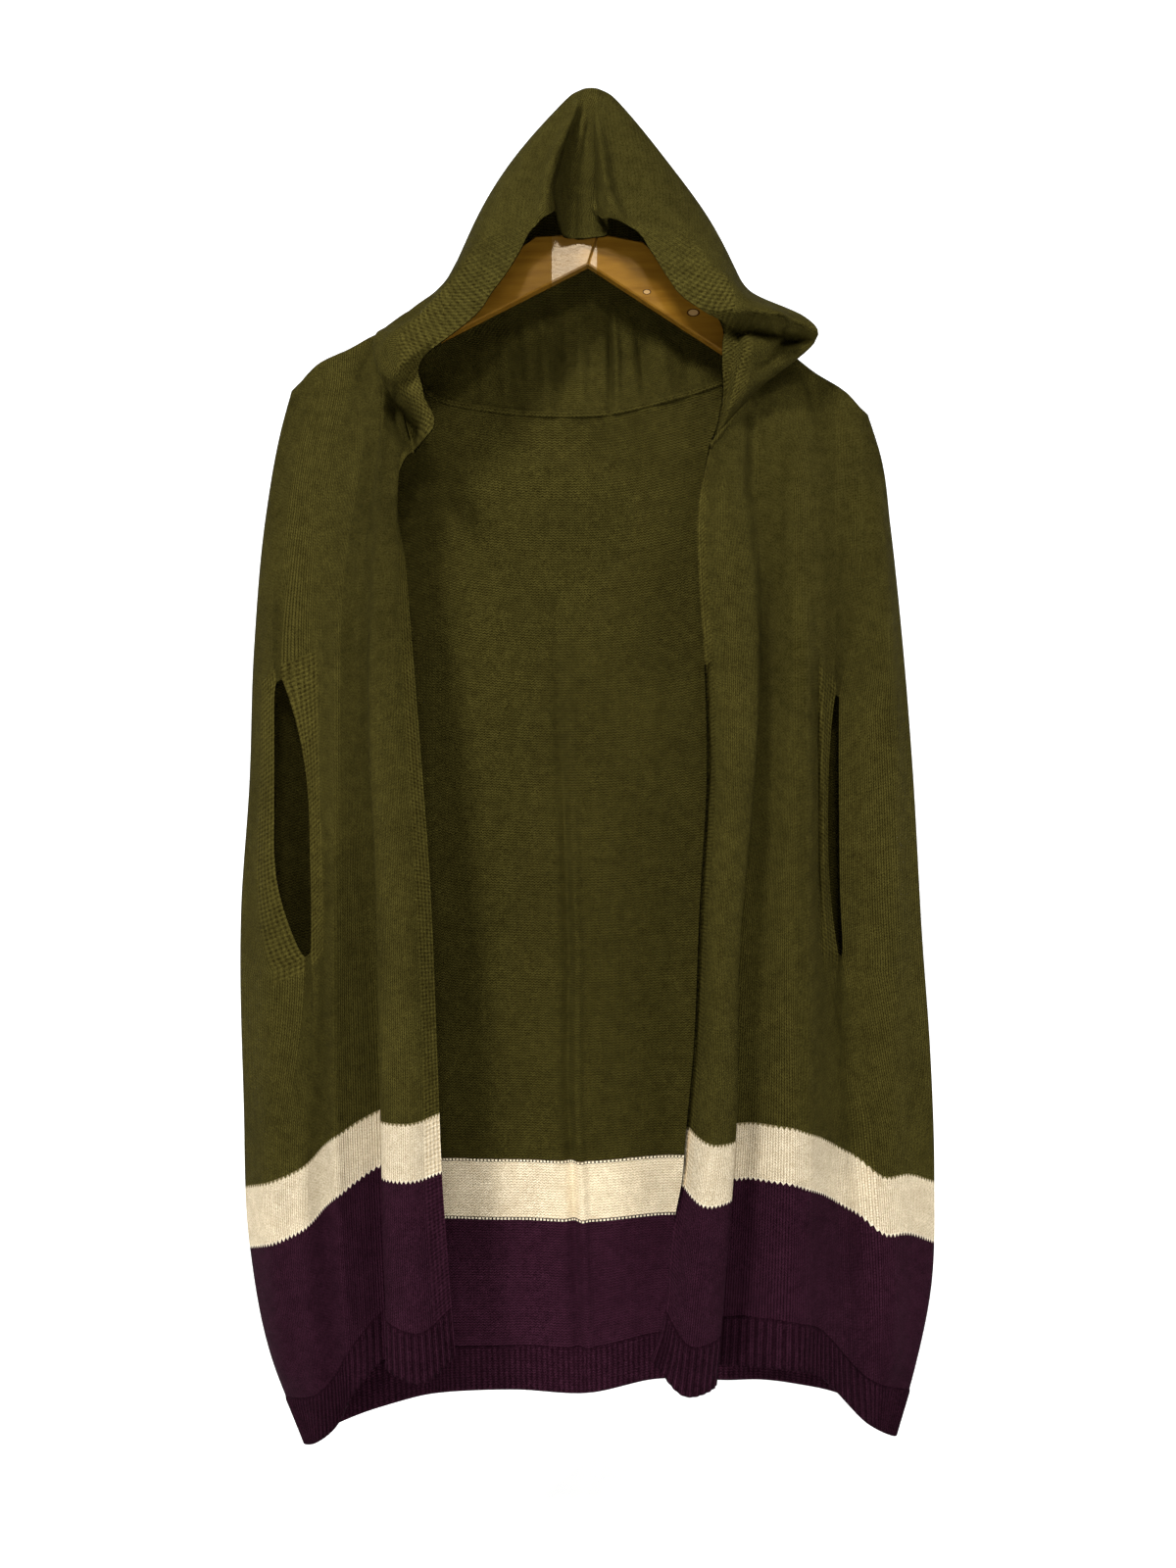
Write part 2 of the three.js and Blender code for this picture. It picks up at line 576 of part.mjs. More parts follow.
// Finishes
const finishes = {
  olive: new THREE.MeshStandardMaterial({ color: 0x3b3813, roughness: 0.95, metalness: 0 }),
  cream: new THREE.MeshStandardMaterial({ color: 0xbfae8a, roughness: 0.95, metalness: 0 }),
  plum: new THREE.MeshStandardMaterial({ color: 0x270d20, roughness: 0.95, metalness: 0 }),
  wood: new THREE.MeshStandardMaterial({ color: 0xa86a1c, roughness: 0.35, metalness: 0 }),
  steel: new THREE.MeshStandardMaterial({ color: 0xb9bcc0, roughness: 0.25, metalness: 1 }),
};

const poncho = new THREE.Group();

function addMesh(name, geometry, material) {
  const mesh = new THREE.Mesh(geometry, material);
  mesh.name = name;
  poncho.add(mesh);
}

// Body panels, each knitted in olive, cream and plum with a ribbed hem

function panelPatches(name, rows, shares, slitCell) {
  return Object.entries(courses).map(([block, span]) => {
    const first = shares.indexOf(span[0]);
    const last = shares.indexOf(span.at(-1));
    const skip = (i, j) => j === slitCell && shares[first + i] >= slitTop && shares[first + i] < slitBottom;
    return { name: `${name}_${block}`, block, quads: gridQuads(rows.slice(first, last + 1), skip) };
  });
}

function hoodPatches(rows) {
  const half = neckFrontCells + ridge.cells;
  const upper = rows.filter((row) => row.leftPleat);
  const left = [
    ...gridQuads(rows.map((row) => row.main.slice(0, half + 1))),
    ...gridQuads(upper.map((row) => row.leftPleat)),
  ];
  const right = [
    ...gridQuads(rows.map((row) => row.main.slice(half))),
    ...gridQuads(upper.map((row) => row.rightPleat)),
  ];
  return [
    { name: 'hood_left', block: 'olive', quads: left },
    { name: 'hood_right', block: 'olive', quads: right },
  ];
}

const body = bodyGrids();
const patches = [
  ...panelPatches('front_left', body.left, body.shares, slitCellLeft),
  ...panelPatches('front_right', body.right, body.shares, slitCellRight),
  ...panelPatches('back', body.rear, body.shares, -1),
  ...hoodPatches(hoodGrids(body)),
];
patches.forEach((patch) => addNormals(patch.quads));
normals.forEach((normal) => normal.normalize());

for (const { name, block, quads } of patches) {
  const ribbed = block === 'rib';
  const wall = ribbed ? ribbedWall(quads) : clothWall(quads, points, normals, []);
  addMesh(name, wall, finishes[ribbed ? 'plum' : block]);
}

// Hanger: two flat arms mitred at the middle

function armPoint(side, angle, along, height) {
  const x = hangerApex.x + side * (along * Math.cos(angle) + height * Math.sin(angle));
  const z = hangerApex.z - along * Math.sin(angle) + height * Math.cos(angle);
  return new THREE.Vector2(x, z);
}

function hangerArmGeometry(side, degrees) {
  const angle = radians(degrees);
  const { length, tipLength, tipTurn, thickness, edgeRound } = hangerArm;
  const tipHeight = armHeights.height.at(-1);
  const outline = [armPoint(side, angle, 0, 0), armPoint(side, angle, length - tipLength, 0)];
  for (const turn of spread(-tipTurn, tipTurn, 4)) {
    const along = length - tipLength + tipLength * Math.cos(radians(turn));
    outline.push(armPoint(side, angle, along, tipHeight / 2 * (1 + Math.sin(radians(turn)))));
  }
  for (let k = armHeights.along.length - 1; k >= 0; k -= 1) {
    outline.push(armPoint(side, angle, armHeights.along[k], armHeights.height[k]));
  }
  outline.push(new THREE.Vector2(mitreTop.x, mitreTop.z));
  for (const corner of [outline[0], outline.at(-1)]) corner.x += side * seamGap / 2;
  const geometry = new THREE.ExtrudeGeometry(new THREE.Shape(outline), {
    depth: thickness - 2 * edgeRound,
    bevelThickness: edgeRound,
    bevelSize: edgeRound,
    bevelOffset: -edgeRound,
    bevelSegments: 1,
  });
  geometry.rotateX(Math.PI / 2);
  geometry.translate(0, thickness / 2 - edgeRound, 0);
  return geometry;
}

addMesh('hanger_arm_left', hangerArmGeometry(-1, hangerArm.leftAngle), finishes.wood);
addMesh('hanger_arm_right', hangerArmGeometry(1, hangerArm.rightAngle), finishes.wood);

// Hook: a stem that rises from the mitre and turns into an open crook

function hookGeometry() {
  const { wire, radius, stemRound, openAngle, sides, steps } = hook;
  const path = new THREE.CurvePath();
  const stemBottom = mitreTop.z + seamGap;
  const bend = new THREE.Vector3(hookCentre.x, 0, hookCentre.z - radius - stemRound);
  const joint = new THREE.Vector3(hookCentre.x + radius * Math.sin(radians(openAngle)), 0,
    hookCentre.z - radius * Math.cos(radians(openAngle)));
  path.add(new THREE.LineCurve3(new THREE.Vector3(hookCentre.x, 0, stemBottom), bend));
  const turn = new THREE.Vector3(hookCentre.x, 0, hookCentre.z - radius);
  path.add(new THREE.QuadraticBezierCurve3(bend, turn, joint));
  const crook = spread(openAngle - 90, 180, 14).map((degrees) => {
    const reach = new THREE.Vector2(radius, 0).rotateAround(new THREE.Vector2(), radians(degrees));
    return new THREE.Vector3(hookCentre.x + reach.x, 0, hookCentre.z + reach.y);
  });
  path.add(new THREE.CatmullRomCurve3(crook));
  const circle = new THREE.Shape(spread(0, 2 * Math.PI * (sides - 1) / sides, sides - 1)
    .map((angle) => new THREE.Vector2(wire / 2 * Math.cos(angle), wire / 2 * Math.sin(angle))));
  return new THREE.ExtrudeGeometry(circle, { extrudePath: path, steps, bevelEnabled: false });
}

addMesh('hook', hookGeometry(), finishes.steel);

export default poncho;
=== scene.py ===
import math

import bpy
import numpy as np
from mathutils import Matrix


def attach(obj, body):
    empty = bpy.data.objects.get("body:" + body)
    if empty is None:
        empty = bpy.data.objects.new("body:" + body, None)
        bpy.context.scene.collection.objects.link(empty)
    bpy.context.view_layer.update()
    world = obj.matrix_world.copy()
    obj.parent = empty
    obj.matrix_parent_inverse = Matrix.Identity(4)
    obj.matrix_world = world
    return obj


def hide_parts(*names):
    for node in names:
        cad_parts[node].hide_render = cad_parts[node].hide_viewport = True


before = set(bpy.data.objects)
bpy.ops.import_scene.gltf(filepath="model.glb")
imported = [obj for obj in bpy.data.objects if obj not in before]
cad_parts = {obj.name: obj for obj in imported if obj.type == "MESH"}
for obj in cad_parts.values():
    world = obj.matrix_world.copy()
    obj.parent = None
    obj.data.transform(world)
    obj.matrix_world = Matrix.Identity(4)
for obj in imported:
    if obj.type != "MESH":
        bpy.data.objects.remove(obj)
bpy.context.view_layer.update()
mm = 0.001

# The cloth hangs in the frame's own form: lines run down it, in mm, and sections cross them.
# Each names its height at the top seam, at the stripe's upper edge and at the hem, then where it runs.
cloth = {
    "thickness": 2.0,
    "stripeHeight": 48,
    "ribHeight": 38,
    "marks": [0, 0.758, 0.817, 0.955, 1],  # top seam, stripe, plum, rib, hem
    "slit": [0.308, 0.562],
    "slitEase": 0.15,
    "slitPower": 0.7,
    "shoulderHalf": 0.24,
    "rollFlat": 3.142,  # how it rolls over a hanger arm
    "rollRadius": 6.058,
    "rollEnd": 21.8,
    "rollExtra": 6.6,
    "rollShares": [0.008, 0.027],
    "rollCourses": [1.1, 1.5],
    "clear": 9.2,  # from the hanger's plane to cloth that lies over its arms
    "tall": 816,
    "seamEase": 0.03,
    "shoulderCells": 7,  # of the back, on either side of the neck
    "fullShare": 0.999,  # the most that a panel fills of its flat rectangle
    "course": 3.0,  # spacing of the mesh rows
    "fine": 6,  # mesh columns in each cell of the frame
}

leftFront = [
    dict(name="edge", top=-286, stripe=-800, tall=44, hem=-986,
         z=[-286, -311, -382, -534, -610, -759, -852, -908, -986],
         x=[-140, -150, -144, -131, -125, -118, -114, -110, -104],
         y=[-38, -40, -42, -49, -53, -58, -60, -60, -58]),
    dict(name="strip", top=-262, stripe=-805, tall=43, hem=-1001,
         z=[-262, -382, -534, -610, -759, -852, -1001],
         x=[-147, -154, -149, -144, -137, -136, -128],
         y=[-34, -50, -60, -66, -72, -74, -74]),
    dict(name="fold", top=-240, stripe=-806, tall=43, hem=-996,
         z=[-240, -382, -534, -610, -759, -852, -996],
         x=[-151, -164, -167, -164, -161, -159, -155],
         y=[-28, -50, -57, -58, -58, -58, -58]),
    dict(name="tuck", top=-215, stripe=-803, tall=43, hem=-1000,
         z=[-215, -226, -300, -382, -534, -610, -759, -852, -1000],
         x=[-152, -157, -164, -171, -170, -161, -147, -140, -134],
         y=[-18, -22, -36, -42, -40, -32, -24, -22, -24]),
    dict(name="inner", top=-182, stripe=-807, tall=43, hem=-1001,
         z=[-182, -191, -204, -300, -382, -534, -610, -759, -852, -1001],
         x=[-150.5, -156, -159, -170, -180, -179, -176, -168, -165, -158],
         y=[-6.8, -10, -14, -30, -38, -32, -24, -13, -10, -12]),
    dict(name="ridge", top=-181.2, stripe=-821, tall=46, hem=-1026, rolled=True,
         z=[-181.2, -196, -300, -382, -534, -610, -759, -852, -1005],
         x=[-150, -164, -180, -191, -195, -196, -197, -195, -186],
         y=[-9.2, -9.2, -28, -36, -38, -36, -31, -28, -28]),
    dict(name="trough", top=-201.6, stripe=-832, hem=-1051, rolled=True,
         z=[-201.6, -217, -300, -382, -534, -640, -759, -852, -1046],
         x=[-190, -191, -203, -211, -211, -208, -208, -210, -198],
         y=[-9.2, -9.2, -20, -27, -33, -34, -33, -32, -26]),
    dict(name="slit", top=-216, stripe=-847, hem=-1066, rolled=True,
         z=[-216, -231, -300, -382, -473, -505, -560, -612, -660, -700, -852, -1066],
         x=[-218, -221, -235, -243, -244, -238, -229, -226, -222, -219, -225, -214],
         y=[-9.2, -9.2, -15, -20, -22, -24, -28, -32, -34, -35, -36, -24]),
]
leftSide = dict(name="side", top=-235, stripe=-872, hem=-1077,
                z=[-235, -269, -332, -442, -547, -651, -808, -920, -1005, -1077],
                x=[-239, -248, -259, -269, -273, -280, -278, -273, -257, -229],
                y=[0, 0, 0, 1, 2, 3, 4, 4, 4, 4])
back = [
    dict(name="shoulderL", top=-216, stripe=-868, hem=-1075, rolled=True,
         z=[-216, -231, -400, -700, -1075], x=[-218, -221, -240, -246, -214], y=[9.2, 9.2, 20, 28, 26]),
    dict(name="bladeL", top=-201.6, stripe=-862, hem=-1068, rolled=True,
         z=[-201.6, -217, -400, -700, -1068], x=[-190, -191, -203, -208, -190], y=[9.2, 9.2, 27, 37, 36]),
    dict(name="neckL", top=-181.2, stripe=-860, hem=-1060, rolled=True,
         z=[-181.2, -196, -400, -700, -1060], x=[-150, -163, -173, -174, -158], y=[9.2, 9.2, 26, 34, 42]),
    dict(name="napeL", top=-182, stripe=-859, hem=-1056,
         z=[-182, -196, -400, -700, -1056], x=[-150.5, -154, -152, -150, -138], y=[6.8, 11, 28, 36, 45]),
    dict(name="quarterL", top=-228, stripe=-858, hem=-1052,
         z=[-228, -400, -700, -1052], x=[-133, -122, -122, -114], y=[18, 30, 39, 42]),
    dict(name="middleL", top=-243, stripe=-857, hem=-1048,
         z=[-243, -400, -700, -1048], x=[-78, -72, -72, -62], y=[19, 30, 36, 36]),
    dict(name="centre", top=-246, stripe=-859, hem=-1050,
         z=[-246, -420, -535, -690, -805, -920, -1050],
         x=[6, -12, -17, -13, -14, -6, -3],
         y=[20, 29, 34, 35, 34, 33, 34]),
    dict(name="middleR", top=-240, stripe=-857, hem=-1042,
         z=[-240, -400, -700, -1042], x=[40, 45, 52, 54], y=[19, 31, 39, 43]),
    dict(name="quarterR", top=-222, stripe=-857, hem=-1041,
         z=[-222, -400, -700, -1039], x=[103, 106, 112, 112], y=[17, 31, 37, 38]),
    dict(name="napeR", top=-199.8, stripe=-859, hem=-1042,
         z=[-199.8, -215, -400, -700, -1040], x=[143.5, 142, 132, 142, 140], y=[6.8, 11, 28, 35, 42]),
    dict(name="neckR", top=-199, stripe=-860, hem=-1046, rolled=True,
         z=[-199, -214, -400, -700, -1040], x=[143, 153, 162, 169, 168], y=[9.2, 9.2, 26, 36, 44]),
    dict(name="bladeR", top=-221.8, stripe=-864, hem=-1051, rolled=True,
         z=[-221.8, -237, -400, -700, -1048], x=[178, 180, 197, 213, 204], y=[9.2, 9.2, 26, 34, 36]),
    dict(name="shoulderR", top=-238, stripe=-867, hem=-1060, rolled=True,
         z=[-238, -253, -400, -700, -1062], x=[203, 206, 228, 248, 228], y=[9.2, 9.2, 18, 26, 24]),
]
rightSide = dict(name="side", top=-254, stripe=-868, hem=-1072,
                 z=[-254, -290, -343, -437, -534, -671, -769, -867, -957, -1020, -1072],
                 x=[221, 232, 239, 249, 257, 265, 272, 275, 272, 259, 244],
                 y=[0, 0, 0, 1, 2, 3, 4, 4, 4, 4, 4])
rightFront = [
    dict(name="slit", top=-238, stripe=-843, tall=46, hem=-1058, rolled=True,
         z=[-238, -253, -330, -418, -478, -572, -640, -680, -784, -842, -940, -1054],
         x=[203, 206, 205, 201, 194, 191, 193, 197, 203, 209, 216, 221],
         y=[-9.2, -9.2, -16, -19, -20, -18, -16, -14, -13, -12, -12, -12]),
    dict(name="trough", top=-221.8, stripe=-822, tall=43, hem=-1010, rolled=True,
         z=[-221.8, -237, -330, -478, -680, -842, -1010],
         x=[178, 180, 179, 173, 172, 176, 176],
         y=[-9.2, -9.2, -29, -40, -41, -38, -34]),
    dict(name="ridge", top=-199, stripe=-815, tall=43, hem=-1003, rolled=True,
         z=[-199, -214, -330, -478, -680, -842, -1003],
         x=[143, 155, 157, 157, 155, 157, 154],
         y=[-9.2, -9.2, -38, -46, -46, -44, -42]),
    dict(name="inner", top=-199.8, stripe=-814, tall=43, hem=-1003,
         z=[-199.8, -217, -330, -478, -680, -842, -1003],
         x=[143.5, 146, 147, 145, 132, 124, 116],
         y=[-6.8, -12, -34, -40, -36, -32, -32]),
    dict(name="tuck", top=-225, stripe=-815, tall=43, hem=-1003,
         z=[-225, -310, -398, -534, -684, -807, -870, -1003],
         x=[134, 128, 133, 124, 98, 90, 86, 76],
         y=[-18, -36, -44, -42, -38, -36, -36, -36]),
    dict(name="fold", top=-245, stripe=-820, tall=44, hem=-1007,
         z=[-245, -310, -398, -474, -534, -684, -807, -870, -956, -1007],
         x=[124, 116, 122, 126, 124, 112, 110, 106, 99, 94],
         y=[-28, -46, -56, -58, -60, -62, -62, -62, -62, -62]),
    dict(name="strip", top=-265, stripe=-820, tall=46, hem=-1010,
         z=[-265, -335, -421, -534, -684, -807, -889, -1010],
         x=[108, 100, 104, 106, 98, 92, 84, 71],
         y=[-36, -52, -60, -66, -72, -76, -76, -76]),
    dict(name="edge", top=-286, stripe=-812, tall=44, hem=-990,
         z=[-286, -335, -383, -459, -534, -647, -758, -811, -856, -889, -975, -990],
         x=[92, 83, 83, 88, 90, 84, 79, 74, 70, 63, 52, 46],
         y=[-44, -45, -48, -50, -50, -52, -54, -54, -54, -54, -54, -54]),
]
bodyLines = [*leftFront, leftSide, *back, rightSide, *rightFront]
leftSlit = {"line": 7, "closed": 0.07, "widest": 0.37, "cell": 13}
rightSlit = {"line": 23, "closed": 0.03, "widest": 0.09, "cell": 2, "inner": 2.4, "most": 0.5}

# The hood's lines run from its ridge over the hook down to the neck seam.
pleatLeft = [
    dict(name="frontSeam", z=[7, 2.5, -20, -60, -118], x=[0, -1, -3, -8, -11], y=[0, -4.2, -12, -16, -19]),
    dict(name="pleat", z=[7, 2.3, -20, -60, -118], x=[-3, -4, -10, -18, -22], y=[0, -4.2, -13, -20, -23]),
]
hoodLines = [
    dict(name="brimL",
         z=[6.5, 1.5, -30, -61, -90, -109, -120, -140, -157, -174, -184, -210, -222, -248, -282, -286],
         x=[-5, -7, -16, -25, -31, -31, -44, -55, -65, -77, -83, -112, -129, -129, -131, -140],
         y=[0, -4.4, -22, -30, -38, -42, -46, -50, -52, -54, -55, -58, -58, -50, -42, -38]),
    dict(name="faceL",
         z=[3.8, -1, -30, -61, -109, -157, -190, -215, -238, -251],
         x=[-12, -15, -32, -50, -68, -98, -130, -158, -160, -150],
         y=[0, -4.6, -20, -32, -44, -52, -56, -58, -50, -31]),
    dict(name="flareL",
         z=[-1, -6, -30, -61, -109, -157, -176, -186, -195, -205, -215],
         x=[-18, -22, -41, -63, -89, -110, -125, -142, -164, -161, -152],
         y=[0, -4.6, -13, -20, -28, -33, -35, -37, -38, -30, -18]),
    dict(name="sideL",
         z=[-7.4, -14, -30, -52, -73, -104, -133, -157, -171, -181.2],
         x=[-22.7, -30, -45, -63, -76, -93, -106, -122, -141, -150],
         y=[0, 0, 0, -1, -2, -2, -2, -1, 0, 0]),
    dict(name="rearSideL",
         z=[0.7, -5, -30, -61, -109, -157, -200, -228],
         x=[-16, -20, -42, -62, -84, -104, -122, -133],
         y=[0, 4.6, 12, 20, 26, 27, 24, 18]),
    dict(name="rearL",
         z=[4.9, 0, -30, -61, -109, -157, -200, -243],
         x=[-10, -12, -24, -36, -48, -58, -68, -78],
         y=[0, 4.6, 16, 26, 36, 36, 30, 19]),
    dict(name="backSeam",
         z=[7, 2.5, -30, -61, -109, -157, -200, -246],
         x=[0, 0, 0, 1, 2, 4, 5, 6],
         y=[0, 4.2, 18, 30, 42, 42, 34, 20]),
    dict(name="rearR",
         z=[4.9, 0, -30, -61, -109, -157, -200, -240],
         x=[10, 12, 22, 33, 43, 46, 44, 40],
         y=[0, 4.6, 16, 26, 36, 36, 30, 19]),
    dict(name="rearSideR",
         z=[0.7, -5, -30, -61, -109, -157, -195, -222],
         x=[16, 20, 36, 57, 84, 99, 103, 103],
         y=[0, 4.6, 12, 20, 26, 27, 23, 17]),
    dict(name="sideR",
         z=[-7.4, -14, -21, -45, -68, -96, -123, -143, -157, -180, -199],
         x=[22.7, 28, 34, 53, 71, 92, 106, 115, 120, 131, 143],
         y=[0, 0, 0, -1, -2, -2, -2, -2, -1, 0, 0]),
    dict(name="flareR",
         z=[-1, -6, -30, -61, -109, -143, -160, -173, -183, -193, -203, -215, -225],
         x=[18, 22, 40, 60, 90, 106, 113, 128, 149, 167, 174, 160, 134],
         y=[0, -4.6, -12, -18, -28, -33, -36, -39, -42, -44, -46, -34, -18]),
    dict(name="faceR",
         z=[3.8, -1, -30, -61, -109, -159, -187, -203, -212, -240, -255],
         x=[12, 15, 25, 37, 58, 92, 122, 145, 143, 126, 116],
         y=[0, -4.6, -20, -30, -42, -52, -60, -64, -52, -44, -32]),
    dict(name="brimR",
         z=[6.5, 1.5, -30, -52, -82, -108, -118, -138, -159, -175, -185, -192, -198, -206, -257, -280, -286],
         x=[5, 5, 3, 4, 5, 9, 30, 46, 59, 71, 85, 99, 103, 102, 101, 95, 92],
         y=[0, -4.4, -18, -24, -32, -38, -42, -46, -48, -50, -52, -54, -51, -48, -46, -44, -44]),
]
pleatRight = [
    dict(name="pleat", z=[7, 2.3, -20, -60, -118], x=[3, 4, 7, 12, 13], y=[0, -4.2, -13, -20, -22]),
    dict(name="frontSeam", z=[7, 2.5, -20, -60, -118], x=[0, -1, -3, -8, -11], y=[0, -4.2, -12, -16, -19]),
]
hood = {
    "pleatBottom": 0.385,
    "pleatEase": 0.065,
    "ridgeShare": 0.012,
    "neckEase": 0.08,
    "neckLip": [(0, -2.2, -1.4), (0, -1.4, -4.2)],  # its seam stands before the cloth and covers the join
    "ridgeRadius": 25,
    "ridgeEnd": 65,
    "hookZ": -18,
    "rows": 92,
    "roundRows": 4,
    "cells": [(2, 5, 9), (5, 6, 4), (6, 7, 3), (7, 8, 4), (8, 9, 4), (9, 10, 3), (10, 11, 4), (11, 14, 9)],
    "halfCells": 20,
    "faceCells": 9,
    "pleatCells": 2,
    "facesEnd": 0.72,
    "evenRounds": 160,
    "evenBorder": 12,
    "flatLength": 0.33,
    "flatShare": 0.8,  # of its flat rectangle
}


def smoothStep(t):
    t = np.clip(t, 0, 1)
    return t * t * (3 - 2 * t)


def readSmooth(heights, values, z):
    h, v = np.array(heights, float), np.array(values, float)
    gaps = np.diff(h)
    slopes = np.diff(v) / gaps
    inner = (slopes[:-1] * gaps[1:] + slopes[1:] * gaps[:-1]) / (gaps[:-1] + gaps[1:])
    tangents = np.concatenate([slopes[:1], inner, slopes[-1:]])
    z = np.clip(z, h[-1], h[0])
    k = np.clip(np.searchsorted(-h, -z, side="left") - 1, 0, len(h) - 2)
    t = (z - h[k]) / gaps[k]
    ease = (1 - t) ** 2
    return (v[k] * (1 + 2 * t) * ease + tangents[k] * gaps[k] * t * ease
            + v[k + 1] * t * t * (3 - 2 * t) + tangents[k + 1] * gaps[k] * t * t * (t - 1))


def bodyLine(line, share):
    roll = cloth["rollExtra"] if line.get("rolled") else 0
    toStripe = line["top"] - line["stripe"] + roll
    toHem = line["top"] - line["hem"] + roll
    tall = line.get("tall", cloth["stripeHeight"])
    drops = [0, toStripe, toStripe + tall, toHem - cloth["ribHeight"], toHem]
    down = np.interp(share, cloth["marks"], drops)
    z = line["top"] - down + roll
    x = readSmooth(line["z"], line["x"], z)
    y = readSmooth(line["z"], line["y"], z)
    if roll:
        radius = cloth["rollRadius"]
        angle = np.clip((down - cloth["rollFlat"]) / radius, 0, math.pi / 2)
        reach = np.minimum(down, cloth["rollFlat"]) + radius * np.sin(angle)
        below = np.maximum(down - cloth["rollFlat"] - radius * math.pi / 2, 0)
        rolling = down < cloth["rollEnd"]
        lean = float(readSmooth(line["z"], line["x"], np.array(line["top"] - cloth["rollEnd"] + roll)))
        x = np.where(rolling, line["x"][0] + (lean - line["x"][0]) * down / cloth["rollEnd"], x)
        y = np.where(rolling, math.copysign(1, line["y"][0]) * reach, y)
        z = np.where(rolling, line["top"] - radius * (1 - np.cos(angle)) - below, z)
    return np.stack([x, y, z], axis=-1)


def hoodLine(line, share):
    z = line["z"][0] + (line["z"][-1] - line["z"][0]) * np.clip(share, 0, 1)
    return np.stack([readSmooth(line["z"], line["x"], z), readSmooth(line["z"], line["y"], z), z], axis=-1)


def acrossLines(lines, places):
    # Centripetal curve through the lines' points, row by row
    knots = np.concatenate([2 * lines[:1] - lines[1:2], lines, 2 * lines[-1:] - lines[-2:-1]])
    k = np.clip(places.astype(int), 0, len(lines) - 2)
    t = (places - k)[..., None]
    row = np.arange(lines.shape[1])[:, None]
    p0, p1, p2, p3 = (knots[k + j, row] for j in range(4))
    d0, d1, d2 = (np.maximum(np.sum((b - a) ** 2, axis=-1, keepdims=True), 1e-9) ** 0.25
                  for a, b in ((p0, p1), (p1, p2), (p2, p3)))
    d0, d2 = np.where(d0 < 0.01, d1, d0), np.where(d2 < 0.01, d1, d2)
    m1 = ((p1 - p0) / d0 - (p2 - p0) / (d0 + d1) + (p2 - p1) / d1) * d1
    m2 = ((p2 - p1) / d1 - (p3 - p1) / (d1 + d2) + (p3 - p2) / d2) * d1
    return p1 + m1 * t + (3 * (p2 - p1) - 2 * m1 - m2) * t ** 2 + (2 * (p1 - p2) + m1 + m2) * t ** 3


def fineCells(coarse):
    # Splits each step of a list of places into equal finer steps
    steps = [np.linspace(a, b, cloth["fine"], endpoint=False) for a, b in zip(coarse[:-1], coarse[1:])]
    return np.concatenate([*steps, [coarse[-1]]])


def stations(*runs):
    # Coarse places: each run is (from, to, cells)
    places = [runs[0][0]]
    for start, end, cells in runs:
        places += [start + (end - start) * (k + 1) / cells for k in range(cells)]
    return places


def slitHalf(share, slit):
    top, bottom = cloth["slit"]
    along = np.clip((share - top) / (bottom - top), 0, 1)
    bulge = np.sin(math.pi * along) ** cloth["slitPower"]
    opened = slit["closed"] + (slit["widest"] - slit["closed"]) * bulge
    away = np.minimum(np.maximum(top - share, share - bottom) / cloth["slitEase"], 1)
    outside = slit["closed"] + (cloth["shoulderHalf"] - slit["closed"]) * np.maximum(away, 0)
    return opened if top < share < bottom else outside


def leftFrontPlaces(share):
    half = slitHalf(share, leftSlit)
    before, after = leftSlit["line"] - half, leftSlit["line"] + half
    return fineCells([*stations((0, 4, 8), (4, 5, 1), (5, 6, 2)), 6.5, before, after, (after + 8) / 2, 8])


def rightFrontPlaces(share):
    half = slitHalf(share, rightSlit)
    # Its border on the strip's side opens much further than the other
    before = rightSlit["line"] - half
    after = rightSlit["line"] + min(half * rightSlit["inner"], rightSlit["most"])
    return fineCells([22, (22 + before) / 2, before, after, (after + 24) / 2,
                      *stations((24, 25, 2), (25, 26, 1), (26, 30, 8))])


def backPlaces():
    half = cloth["shoulderHalf"]
    middle = stations((10, 11, 2), (11, 12, 1), (12, 13, 3), (13, 14, 3), (14, 15, 4),
                      (15, 16, 4), (16, 17, 3), (17, 18, 3), (18, 19, 1), (19, 20, 2))
    return fineCells([8, 8.5, 9 - half, 9 + half, 9.5, *middle, 20.5, 21 - half, 21 + half, 21.5, 22])


def bodyShares():
    # Rows at even heights, with the colour joins and the slits' ends among them
    stops = [0, *cloth["rollShares"], *cloth["slit"], *cloth["marks"][1:]]
    spacing = [*cloth["rollCourses"], *[cloth["course"]] * (len(stops) - 3)]
    shares = [0.0]
    for a, b, gap in zip(stops[:-1], stops[1:], spacing):
        count = max(1, round((b - a) * cloth["tall"] / gap))
        shares += [a + (b - a) * (k + 1) / count for k in range(count)]
    return np.array(shares)


def bodyGrids():
    shares = bodyShares()
    lines = np.stack([bodyLine(line, shares) for line in bodyLines])
    left = acrossLines(lines, np.stack([leftFrontPlaces(share) for share in shares]))
    right = acrossLines(lines, np.stack([rightFrontPlaces(share) for share in shares]))
    rear = acrossLines(lines, np.tile(backPlaces(), (len(shares), 1)))
    # The back's shoulders take the fronts' points, eased in over the first courses
    n = cloth["shoulderCells"] * cloth["fine"]
    ease = (1 - smoothStep(shares / cloth["seamEase"]))[:, None, None]
    rear[:, :n + 1] += ease * (left[0, ::-1][:n + 1] - rear[0, :n + 1])
    rear[:, -n - 1:] += ease * (right[0, ::-1][-n - 1:] - rear[0, -n - 1:])
    return shares, left, right, rear


def ridgePoints(side, steps, cells):
    angle = np.radians(hood["ridgeEnd"]) * np.asarray(steps) / cells
    x = side * hood["ridgeRadius"] * np.sin(angle)
    return np.stack([x, 0 * x, hood["hookZ"] + hood["ridgeRadius"] * np.cos(angle)], axis=-1)


